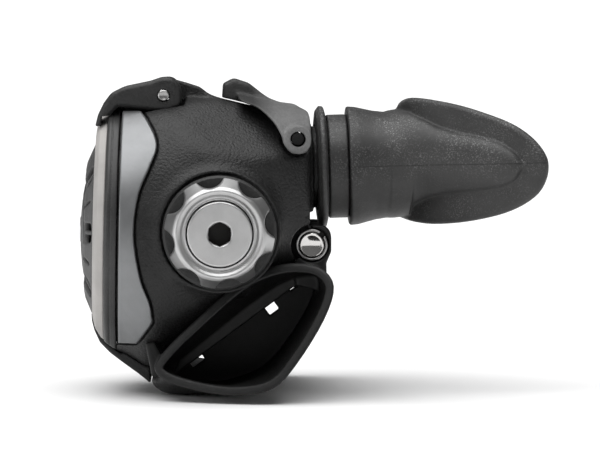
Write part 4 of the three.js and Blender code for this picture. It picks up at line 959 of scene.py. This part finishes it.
barrel_shape = {"sides": 144, "ripple": hexagon_and_thread, "smooth_angle": 38}
turned("barrel_and_inlet", BARREL_PROFILE, "chrome", "case", "valve_barrel", **barrel_shape)
turned("nut_on_barrel", NUT_PROFILE, "chrome", "case", "barrel_nut", sides=144, ripple=nut_flats)
seal("seal_knob_side", 7.4, 0.5, -31.2, "case", "barrel_o_ring_knob")
seal("seal_inlet_side", 7.4, 0.5, 29.6, "case", "barrel_o_ring_inlet")
seal("seal_of_orifice", 4.35, 0.65, 28.1, "case", "orifice_o_ring")
seal("seal_of_spindle", 4.5, 0.65, -28.5, "spindle", "spindle_o_ring")

ORIFICE_PROFILE = [(2.1, 22.1), (2.4, 22), (2.8, 22), (3.4, 23.4), (4.9, 23.4), (4.9, 27), (3.3, 27)]
ORIFICE_PROFILE += [(3.3, 29.2), (4.9, 29.2), (4.9, 33), (2.1, 33)]
POPPET_PROFILE = [(0, -5.5), (1.4, -5.5), (1.7, -5.2), (1.7, 9.2), (4.7, 9.2), (4.7, 12.4), (2.3, 12.4)]
POPPET_PROFILE += [(2.3, 16.2), (4.7, 16.2), (4.7, 20.8), (4.5, 21), (3.9, 21), (3.9, 19.2), (0, 19.2)]
SEAT_PROFILE = [(0, 19.5), (3.5, 19.5), (3.5, 21.5), (3.3, 21.7), (0, 21.7)]
PAD_PROFILE = [(0, -16), (4.7, -16), (4.9, -15.8), (4.9, -11.8), (2.1, -11.8), (2.1, -8.1), (1.9, -7.9)]
PAD_PROFILE += [(0, -7.9)]
SPINDLE_PROFILE = [(0, -38.7), (3.4, -38.7), (3.6, -38.5), (3.6, -36.2), (4.8, -36.2), (4.8, -29.6)]
SPINDLE_PROFILE += [(3.5, -29.6), (3.5, -27.4), (4.8, -27.4), (4.8, -18.2), (2.4, -17.6), (0, -17.6)]

turned("seat_tube", ORIFICE_PROFILE, "satin", "case", "orifice")
turned("poppet_body", POPPET_PROFILE, "dark", "poppet", "poppet")
turned("soft_seat", SEAT_PROFILE, "black_rubber", "poppet", "poppet_seat")
turned("pad_of_spring", PAD_PROFILE, "satin", "pad", "spring_pad")
turned("spindle_screw", SPINDLE_PROFILE, "satin", "spindle", "adjusting_spindle")
dress(coil("spring_of_poppet", 2.8, 2.8, 6, 19.4, 0.4, along_y=-11), "steel", "case", "poppet_spring")


# ---- inhalation knob

LUG_COUNT, FIRST_LUG = 8, math.radians(32.7)
SCALLOP_RADIUS, SCALLOP_CENTRE = 4.05, 15.9

KNOB_BASE_PROFILE = rounded(
    [
        (10.7, -32.6), (14.5, -32.6, 0.2), (14.8, -33.0, 0.3), (14.8, -36.4, 0.5), (14.2, -37, 0.4),
        (5.2, -37), (5.2, -35.5), (10.7, -35.5),
    ]
)
GRIP_PROFILE = rounded(
    [
        (8.8, -37.3), (14.3, -37.3, 0.15), (14.35, -38.7, 0.35), (12.1, -43.5, 1.2), (11.2, -44.5, 0.7),
        (10.2, -43.9, 0.6), (9.6, -43.3, 0.6), (9.0, -43.3, 0.15), (8.75, -43.6, 0.1), (8.75, -43.0),
    ]
)
CAP_FACE = -44.6
CAP_PROFILE = rounded(
    [
        (4.4, -37.3), (8.4, -37.3), (8.4, -44.3, 0.2), (8.1, CAP_FACE, 0.2), (-4.4, CAP_FACE),
        (-4.4, -40.0), (4.4, -40.0),
    ]
)
SOCKET_FLOOR, SOCKET_HALF_FLATS, SOCKET_MOUTH_RADIUS = -41.0, 2.75, 3.3


def make_grip_ring():
    grid = Grid((-14.7, -44.9, -14.7), (14.7, -37.0, 14.7), 0.17)
    radius = np.hypot(grid.x, grid.z)
    ring = outline_distance(GRIP_PROFILE, radius, grid.y + 0 * radius)
    share = 2 * math.pi / LUG_COUNT
    turn = sector(np.arctan2(grid.z, grid.x) - FIRST_LUG - share / 2, share)
    scallop = np.hypot(radius * np.cos(turn) - SCALLOP_CENTRE, radius * np.sin(turn)) - SCALLOP_RADIUS
    ring = cut(ring, scallop, 0.45)
    return surface_of("lobed_ring", grid, ring)


def make_cap():
    grid = Grid((-8.8, -45.0, -8.8), (8.8, -37.0, 8.8), 0.15)
    radius = np.hypot(grid.x, grid.z)
    cap = outline_distance(CAP_PROFILE, radius, grid.y + 0 * radius)
    flat = sector(np.arctan2(grid.z, grid.x), math.pi / 3)
    hexagon = common(radius * np.cos(flat) - SOCKET_HALF_FLATS, grid.y - SOCKET_FLOOR)
    mouth = radius - SOCKET_MOUTH_RADIUS + (grid.y - CAP_FACE) * 0.9
    chamfer = common(mouth, grid.y - CAP_FACE - 1)
    cap = cut(cap, hexagon, 0.1)
    return surface_of("centre_cap", grid, cut(cap, chamfer, 0.12))


def darken_socket(cap):
    """Paints shade on the socket's walls and floor: a dark material stands in for the shade inside the hex
    recess.
    """
    cap.data.materials.append(LOOKS["socket_shade"][0])
    for face in cap.data.polygons:
        x, y, z = face.center / MM
        inside = math.hypot(x, z) < SOCKET_MOUTH_RADIUS - 0.15
        if inside and CAP_FACE + 0.4 < y + INLET_END < SOCKET_FLOOR + 0.4:
            # the socket's faces get the painted shade
            face.material_index = 1


turned("black_base", KNOB_BASE_PROFILE, "nylon", "knob", "knob_base", sides=128)
dress(make_grip_ring(), "satin", "knob", "knob_grip_ring")
darken_socket(dress(make_cap(), "satin", "knob", "knob_cap"))


# ---- exhaust

TEE_MIDDLE = [
    (-17.0, -42.4), (-17.6, -39.8), (-12.5, -35.4), (-6.8, -31.2), (3.1, -23.9), (10.3, -18.6), (18, -12.9),
    (25.5, -10.6), (28, -14.6), (26, -22), (19.5, -32.5), (13, -39.5), (4, -43.2), (-4.7, -44.2),
    (-13.4, -44.2),
]
HORN_END = [
    (-16.9, -35.2), (-13, -29.8), (-6.8, -23.9), (3.1, -15.1), (10.3, -10.6), (18.6, -8.4), (26, -9.3),
    (29.6, -14), (27, -22.4), (19.8, -33.8), (13.7, -40), (4.6, -41.9), (-5, -41.1), (-14, -38.6),
]
HORN_UPPER_REACH, HORN_LOWER_REACH = 30.0, 42.0
FINGER_OUTLINE = [(-19.6, -29.4, 0.8), (-17.0, -29.0, 0.8), (-14.8, -33.5), (-15.0, -38.5), (-17.8, -38.5)]
EAR_OUTLINE = [(19.3, -5.0), (19.3, 1.0, 5.0), (29.7, 1.0, 5.2), (29.7, -6.0, 2.0), (28.4, -9.0, 2)]
EAR_OUTLINE += [(28.6, -17), (20.4, -15)]
FINGER_INNER, FINGER_OUTER = 21.0, 24.4
ROOF_HALF_SPAN, WEB_HALF_THICKNESS = 17.0, 0.9
RIM_SWELL, RIM_LENGTH = 0.55, 3.0

# The windows in the tee's middle web: place up the slope, width and height over the roof.
TEE_WINDOWS = [(-13.6, 3.9, 2.4), (11, 3.0, 3.4), (19.6, 3.5, 1.3)]


def make_tee():
    """A wide shell under the case, open at both ends, with a roof under the port and a middle web."""
    grid = Grid((-20.6, 0, -45.2), (30.6, 43.0, 2.2), 0.34, mirrored=True)
    x, y, z = grid.x, grid.y, grid.z
    e, w = inside_frame(EXHAUST, x, z)
    middle = outline_distance(smooth_closed(TEE_MIDDLE, 4), x, z)
    end = outline_distance(smooth_closed(HORN_END, 4), x, z)
    fall = np.clip((w + 6) / 26, 0, 1)
    reach = HORN_UPPER_REACH + (HORN_LOWER_REACH - HORN_UPPER_REACH) * fall
    t = np.clip((y / reach - 0.3) / 0.6, 0, 1)
    skin = middle + (end - middle) * t * t * (3 - 2 * t)
    past_end = (y - reach) * 0.9

    rim = RIM_SWELL * np.clip((y - reach + RIM_LENGTH) / RIM_LENGTH, 0, 1) ** 2
    shell = edged(common(skin - rim * 0.4, -(skin + TEE_WALL + rim)), past_end, 0.8)
    slope_roof = common(skin + 0.1, w - TEE_ROOF, y - ROOF_HALF_SPAN)
    tee = blend_union(shell, slope_roof, 0.5)
    web = common(skin + 0.5, y - WEB_HALF_THICKNESS, TEE_ROOF - 0.3 - w)
    for up_slope, width, height in TEE_WINDOWS:
        window = common(np.abs(-e - up_slope) - width / 2, slab(w, TEE_ROOF, TEE_ROOF + height))
        web = cut(web, window, 0.2)
    tee = np.minimum(tee, web)
    ear = edged(outline_distance(rounded(EAR_OUTLINE), x, z), slab(y, EAR_INNER, EAR_OUTER), 0.5)
    tee = blend_union(tee, ear, 1.2)
    finger = edged(outline_distance(rounded(FINGER_OUTLINE), x, z), slab(y, FINGER_INNER, FINGER_OUTER), 0.8)
    tee = blend_union(tee, finger, 1.0)

    from_pin = np.hypot(x - TEE_PIN_X, z - TEE_PIN_Z)
    case_room = common(case_skin(grid) - GAP - 0.1, x - REAR_X - GAP)
    tee = cut(tee, case_room, 0.3)
    tee = cut(tee, common(from_pin - 4.2, y - EAR_INNER), 0.2)
    from_port = np.hypot(y, e)
    tee = cut(tee, common(from_port - 16.5, w - 1.1), 0.2)
    tee = cut(tee, common(from_port - 14.5, w - TEE_ROOF - 0.1), 0.2)
    tee = cut(tee, from_pin - TEE_PIN_RADIUS - 0.2 + 0 * y, 0.2)
    tee = cut(tee, common(from_pin - EAR_RADIUS + 0.6, EAR_OUTER - 1.6 - y), 0.3)
    return surface_of("tee_shell", grid, tee)


VALVE_PROFILE = profile_on_axis(
    [(0, 2.3), (3, 2.2), (14, 1.7, 0.3), (14, 1.1, 0.2), (1, 1.1), (1, -3.2), (1.8, -3.4), (1.8, -4.4)]
    + [(0, -5)]
)
TEE_PIN_PROFILE = profile_on_axis(
    [
        (0, -17.2), (2.5, -18.1, 0.15), (3.0, -18.2, 0.2), (3.25, -17.9, 0.2), (3.25, -17.0, 0.1),
        (1.9, -16.8), (1.9, 16.8), (3.25, 17.0, 0.1), (3.25, 17.9, 0.2), (3.0, 18.2, 0.2),
        (2.5, 18.1, 0.15), (0, 17.2),
    ]
)


CLIP_RADIUS, CLIP_HALF_WIDTH = 3.85, 0.35


def make_clip():
    """An open ring round the tee's pin, with its mouth up and to the rear."""
    grid = Grid((19.9, -18.2, -8.8), (29.1, -16.9, 0.4), 0.1)
    dx = grid.x - TEE_PIN_X
    dz = grid.z - TEE_PIN_Z
    ring = np.abs(np.hypot(dx, dz) - CLIP_RADIUS) - CLIP_HALF_WIDTH
    ring = edged(ring, slab(grid.y, -17.9, -17.2), 0.25)
    along = (dx + dz) * math.sqrt(0.5)
    across = (dz - dx) * math.sqrt(0.5)
    mouth = common(np.abs(across) - 0.8, -along) + 0 * grid.y
    return surface_of("spring_clip", grid, cut(ring, mouth, 0.1))


dress(make_tee(), "tee", "case", "exhaust_tee")
turned("mushroom_valve", VALVE_PROFILE, "silicone", "exhaust_flap", "exhaust_valve", "z", EXHAUST, 96)
TEE_PIN_AXIS = {"centre": (TEE_PIN_X, 0, TEE_PIN_Z)}
turned("cross_pin", TEE_PIN_PROFILE, "chrome", "case", "tee_pin", sides=72, **TEE_PIN_AXIS)
dress(make_clip(), "steel", "case", "tee_pin_clip")


# ---- venturi lever

SADDLE_OUTLINE = smooth_closed(
    [(5.3, 34.2), (10.2, 32.0), (14.2, 28.4), (16.4, 24.6), (17.0, 22.6), (19.0, 20.4), (22.6, 20.6)]
    + [(24.3, 24.0), (24.4, 28.6), (22.4, 32.6), (14, 36.5), (6.0, 38.0)],
    4,
)
FIN_OUTLINE = [
    (0.8, 33.8), (1.1, 38.4, 1.2), (4.0, 39.9, 2.2), (8.0, 38.6, 4), (13.6, 34.2, 3), (16.2, 32.8, 2),
    (20.3, 32.7, 2), (23.4, 29.6, 2), (12, 30.5), (5, 32.4),
]


FIN_HALF_WIDTH, EYE_RADIUS, EYE_BORE_RADIUS = 7.0, 3.7, 2.0
SADDLE_GAP, SADDLE_THICKNESS = 0.45, 1.85


def make_venturi_lever():
    """A saddle that straddles the case's roof, with a finger fin on top and an eye at each end."""
    grid = Grid((0.4, 0, 19.4), (24.6, 26.0, 40.6), 0.26, mirrored=True)
    x, y, z = grid.x, grid.y, grid.z
    skin = case_skin(grid)
    layer = common(skin - SADDLE_GAP - SADDLE_THICKNESS, SADDLE_GAP - skin)
    saddle = edged(outline_distance(SADDLE_OUTLINE, x, z), layer, 0.7)
    fin = edged(outline_distance(rounded(FIN_OUTLINE), x, z), y - FIN_HALF_WIDTH, 1.6)
    lever = blend_union(saddle, fin, 1.8)
    from_pivot = np.hypot(x - VENTURI_X, z - VENTURI_Z)
    eye = edged(from_pivot - EYE_RADIUS, slab(y, 18, 24.4), 0.6)
    lever = blend_union(lever, eye, 0.8)
    lever = cut(lever, skin - SADDLE_GAP, 0.2)
    lever = blend_common(lever, x - 24.2, 0.6)
    return surface_of("lever_saddle", grid, cut(lever, from_pivot - EYE_BORE_RADIUS + 0 * y, 0.3))


dress(make_venturi_lever(), "lever", "venturi", "venturi_lever")


# ---- mouthpiece

SHIELD_FRONT, SHIELD_SPAN, SHIELD_HALF_WIDTH, SHIELD_HALF_THICKNESS = 26.0, 36.4, 31.0, 1.6
TUBE_SECTION = (17.6, 12.8, 2.5)  # half width, half height and squareness of the mouthpiece's groove

# The rubber round the mouth tube: (distance along the tube, distance out from the groove's section).
SLEEVE_OUTLINE = [
    (1.9, -1.0), (2.3, 2.3, 0.3), (3.3, 3.6, 0.5), (4.4, 3.4, 0.5), (4.9, 1.4, 0.5), (5.0, -0.5, 0.2),
    (10.6, -0.5, 0.2), (10.7, 3.2, 0.5), (13.0, 3.0), (17.5, 1.9, 6), (22.5, 1.2, 6), (29.0, 1.5),
    (40.0, 3.0), (40.0, -6.0), (14.3, -6.0), (14.3, -1.6), (1.9, -1.6),
]

# The cheek that swells from the tube over the lips' side of the shield, at stations along the tube: along,
# height of its middle, half height, and how far it stands out from the shield.
CHEEK_STATIONS = np.array(
    [
        [20.0, 0.0, 14.6, 9.6],
        [23.0, 0.3, 14.6, 7.9],
        [26.8, 1.4, 12.6, 6.2],
        [30.3, 1.7, 10.6, 5.0],
        [34.2, 1.2, 9.0, 4.2],
        [39.0, 0.7, 7.9, 3.5],
        [45.0, 0.3, 7.0, 3.0],
        [50.0, -0.2, 5.8, 2.6],
        [53.2, -0.6, 4.0, 2.0],
        [55.8, -0.4, 0.2, 0.2],
    ]
)

# The shield laid flat, on one side: distance round its curve from the middle, and height.
SHIELD_OUTLINE = smooth_closed(
    [
        (-6, 17.2), (0, 16.2), (5, 17.2), (10.1, 17.7), (17.8, 17.0), (25.4, 15.5), (32.1, 13.5),
        (38.1, 11.3), (42.4, 9.0), (46.2, 5.9), (48.8, 2.3), (49.5, -0.8), (48.8, -4.3), (46.6, -7.8),
        (42.5, -10.7), (37.1, -12.9), (30.6, -14.4), (23.4, -15.4), (15.3, -15.8), (8.6, -15.4), (0, -14.6),
        (-6, -15.2),
    ],
    3,
)


# A bite tab on one side, from above: distance along the tube and distance to the side.
TAB_OUTLINE = rounded([(34, 15), (38.5, 10.4, 1.5), (51, 14.6, 2), (55, 19.4, 2), (49, 23.5)])
TAB_HALF_THICKNESS, TAB_LUMP_HALF_THICKNESS, TAB_LUMP_INSET = 2.6, 4.4, 5.0


def mouth_sleeve(m, y, h):
    """The rubber round the case's mouth tube, with its groove for the band."""
    out = superellipse_distance(y, h, *TUBE_SECTION)
    return outline_distance(rounded(SLEEVE_OUTLINE), m + 0 * out, out)


def mouth_cheek(m, h, through):
    """The swelling over the lips' side of the shield, thinning out towards its tips."""
    stations = CHEEK_STATIONS[:, 0]
    middle, half_height, stand_out = (eased(m, stations, CHEEK_STATIONS[:, k], 1) for k in (1, 2, 3))
    above_shield = np.maximum(-through - SHIELD_HALF_THICKNESS + 0.6, 0)
    cheek = superellipse_distance(above_shield, h - middle, stand_out + 0.6, half_height, 2.2)
    return common(cheek, through, 22.0 - m, m - 56.0)


def bite_tab(m, y, h):
    """A tab held between the teeth, with a thicker lump in its middle."""
    planform = outline_distance(TAB_OUTLINE, m, y)
    tab = edged(planform, np.abs(h) - TAB_HALF_THICKNESS, 0.9)
    lump = edged(planform + TAB_LUMP_INSET, np.abs(h) - TAB_LUMP_HALF_THICKNESS, 0.9)
    return blend_union(tab, lump, 1.0)


def make_mouthpiece():
    """A sleeve that opens into a shield bent on a parabola round the teeth, with cheeks and bite tabs."""
    grid = Grid((1.2, 0, -17.4), (64.0, 32.9, 19.6), 0.3, mirrored=True)
    m, y, h = grid.x, grid.y, grid.z
    bend = 2 * SHIELD_SPAN / SHIELD_HALF_WIDTH**2
    slope = bend * y
    steepness = np.hypot(1, slope)
    through = (m - SHIELD_FRONT - slope * y / 2) / steepness
    foot = np.clip(y + through * slope / steepness, 0, None)
    round_curve = foot / 2 * np.hypot(1, bend * foot) + np.arcsinh(bend * foot) / (2 * bend)
    planform = outline_distance(SHIELD_OUTLINE, round_curve, h + 0 * m)
    shield = edged(planform, np.abs(through) - SHIELD_HALF_THICKNESS, 1.45)

    body = common(mouth_sleeve(m, y, h), m - 26.5, through)
    body = blend_union(body, mouth_cheek(m, h, through), 1.6)
    mouthpiece = blend_union(body, shield, 0.9)
    mouthpiece = blend_union(mouthpiece, bite_tab(m, y, h), 1.6)

    socket = common(superellipse_distance(y, h, 17.0, 11.2, MOUTH_SQUARENESS), m - MOUTH_TUBE_END - GAP)
    mouthpiece = cut(mouthpiece, socket, 0.2)
    airway_width = np.interp(m, [10, 24], [14.5, 13.5])
    airway_height = np.interp(m, [10, 24], [8.6, 7.2])
    airway = superellipse_distance(y, h, airway_width, airway_height, 2.5)
    return surface_of("mouthpiece_rubber", grid, cut(mouthpiece, airway, 1.4), MOUTH)


BAND_REACH, BUCKLE_REACH = (5.25, 10.35), (5.2, 10.4)  # along the tube


def make_band():
    """A flat band in the mouthpiece's groove, with its buckle on the hose's side."""
    grid = Grid((4.8, -21.2, -15.0), (10.8, 22.2, 15.0), 0.24)
    m, y, h = grid.x, grid.y, grid.z
    out = superellipse_distance(y, h, *TUBE_SECTION)
    band = edged(slab(out, -0.2, 1.1) + 0 * m, slab(m, *BAND_REACH), 0.35)
    buckle = edged(common(slab(y, 17.5, 21.5), np.abs(h) - 3.3), slab(m, *BUCKLE_REACH), 0.5)
    buckle = common(buckle, -0.2 - out)
    tail = edged(common(slab(out, 0.9, 1.9), slab(h, 2.0, 9.0)), slab(m, 6.0, 9.6), 0.3)
    tail = common(tail, 8 - y)
    return surface_of("groove_band", grid, np.minimum(blend_union(band, buckle, 0.4), tail), MOUTH)


dress(make_mouthpiece(), "mouth", "case", "mouthpiece")
dress(make_band(), "band", "case", "mouthpiece_clamp")

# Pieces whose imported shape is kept: they are plates and boxes deep inside the case.
for kept, kept_look in (("demand_lever", "steel"), ("venturi_vane", "dark")):
    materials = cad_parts[kept].data.materials
    materials.clear()
    materials.append(LOOKS[kept_look][0])


# ---- camera, light and floor

LOOK_AT = (21.87, 0, -2.36)
CAMERA_DISTANCE = 900.0
CAMERA_RISE, CAMERA_SWING = math.radians(3.0), math.radians(-1.6)
VIEW_WIDTH = 162.0  # of the picture, at the distance of LOOK_AT
SENSOR_WIDTH = 36.0

WORLD_LIGHT, WORLD_SEEN = 0.17, 1.15
SKY_POWER, SKY_SPREAD, SKY_DIRECTION = 3.6, math.radians(75), (-0.1, -0.14, 1.0)
LEFT_PLACE, LEFT_SIZE, LEFT_POWER = (-0.8, -0.3, 0.1), 0.5, 1.6  # in metres and watts
FLOOR_REACH, FLOOR_TONE = 6.0, 0.93


def point_at(made, target):
    aim = Vector(target) - made.location
    made.rotation_euler = aim.to_track_quat("-Z", "Y").to_euler()


def add_lamp(name, kind, place, target, energy):
    lamp = bpy.data.lights.new(name, kind)
    lamp.energy = energy
    made = bpy.data.objects.new(name, lamp)
    bpy.context.scene.collection.objects.link(made)
    made.location = place
    point_at(made, target)
    return lamp


def make_lights(centre):
    """Soft light from above that's as strong over the whole floor, and a weaker square one from the left."""
    sky = add_lamp("sky", "SUN", SKY_DIRECTION, (0, 0, 0), SKY_POWER)
    sky.angle = SKY_SPREAD
    left = add_lamp("left", "AREA", LEFT_PLACE, centre, LEFT_POWER)
    left.shape = "SQUARE"
    left.size = LEFT_SIZE


def make_camera():
    level = math.cos(CAMERA_RISE)
    back = Vector((math.sin(CAMERA_SWING) * level, -math.cos(CAMERA_SWING) * level, math.sin(CAMERA_RISE)))
    target = Vector(LOOK_AT) - Vector((0, INLET_END, 0))
    lens = bpy.data.cameras.new("camera")
    lens.sensor_width = SENSOR_WIDTH
    lens.lens = SENSOR_WIDTH * CAMERA_DISTANCE / VIEW_WIDTH
    made = bpy.data.objects.new("camera", lens)
    bpy.context.scene.collection.objects.link(made)
    made.location = (target + back * CAMERA_DISTANCE) * MM
    point_at(made, target * MM)
    bpy.context.scene.camera = made


def make_floor():
    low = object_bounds()[0][2]
    corners = [(FLOOR_REACH * u, FLOOR_REACH * v, low) for u, v in ((-1, -1), (1, -1), (1, 1), (-1, 1))]
    floor = mesh_of("floor", corners, [(0, 1, 2, 3)])
    nodes = Nodes("pale_floor")
    nodes.set(Base_Color=(FLOOR_TONE,) * 3, Roughness=0.9, Specular_IOR_Level=0.1)
    floor.data.materials.append(nodes.material)


def make_world():
    """White where the camera sees it, and a weak even light on the object."""
    world = bpy.data.worlds.new("studio")
    bpy.context.scene.world = world
    world.use_nodes = True
    tree = world.node_tree
    background = tree.nodes["Background"]
    background.inputs["Color"].default_value = (1, 1, 1, 1)
    path = tree.nodes.new("ShaderNodeLightPath")
    strength = tree.nodes.new("ShaderNodeMapRange")
    strength.inputs["To Min"].default_value = WORLD_LIGHT
    strength.inputs["To Max"].default_value = WORLD_SEEN
    tree.links.new(path.outputs["Is Camera Ray"], strength.inputs["Value"])
    tree.links.new(strength.outputs["Result"], background.inputs["Strength"])


make_camera()
make_floor()
make_world()
make_lights((Vector(LOOK_AT) - Vector((0, INLET_END, 0))) * MM)
bpy.context.scene.view_settings.view_transform = "Standard"
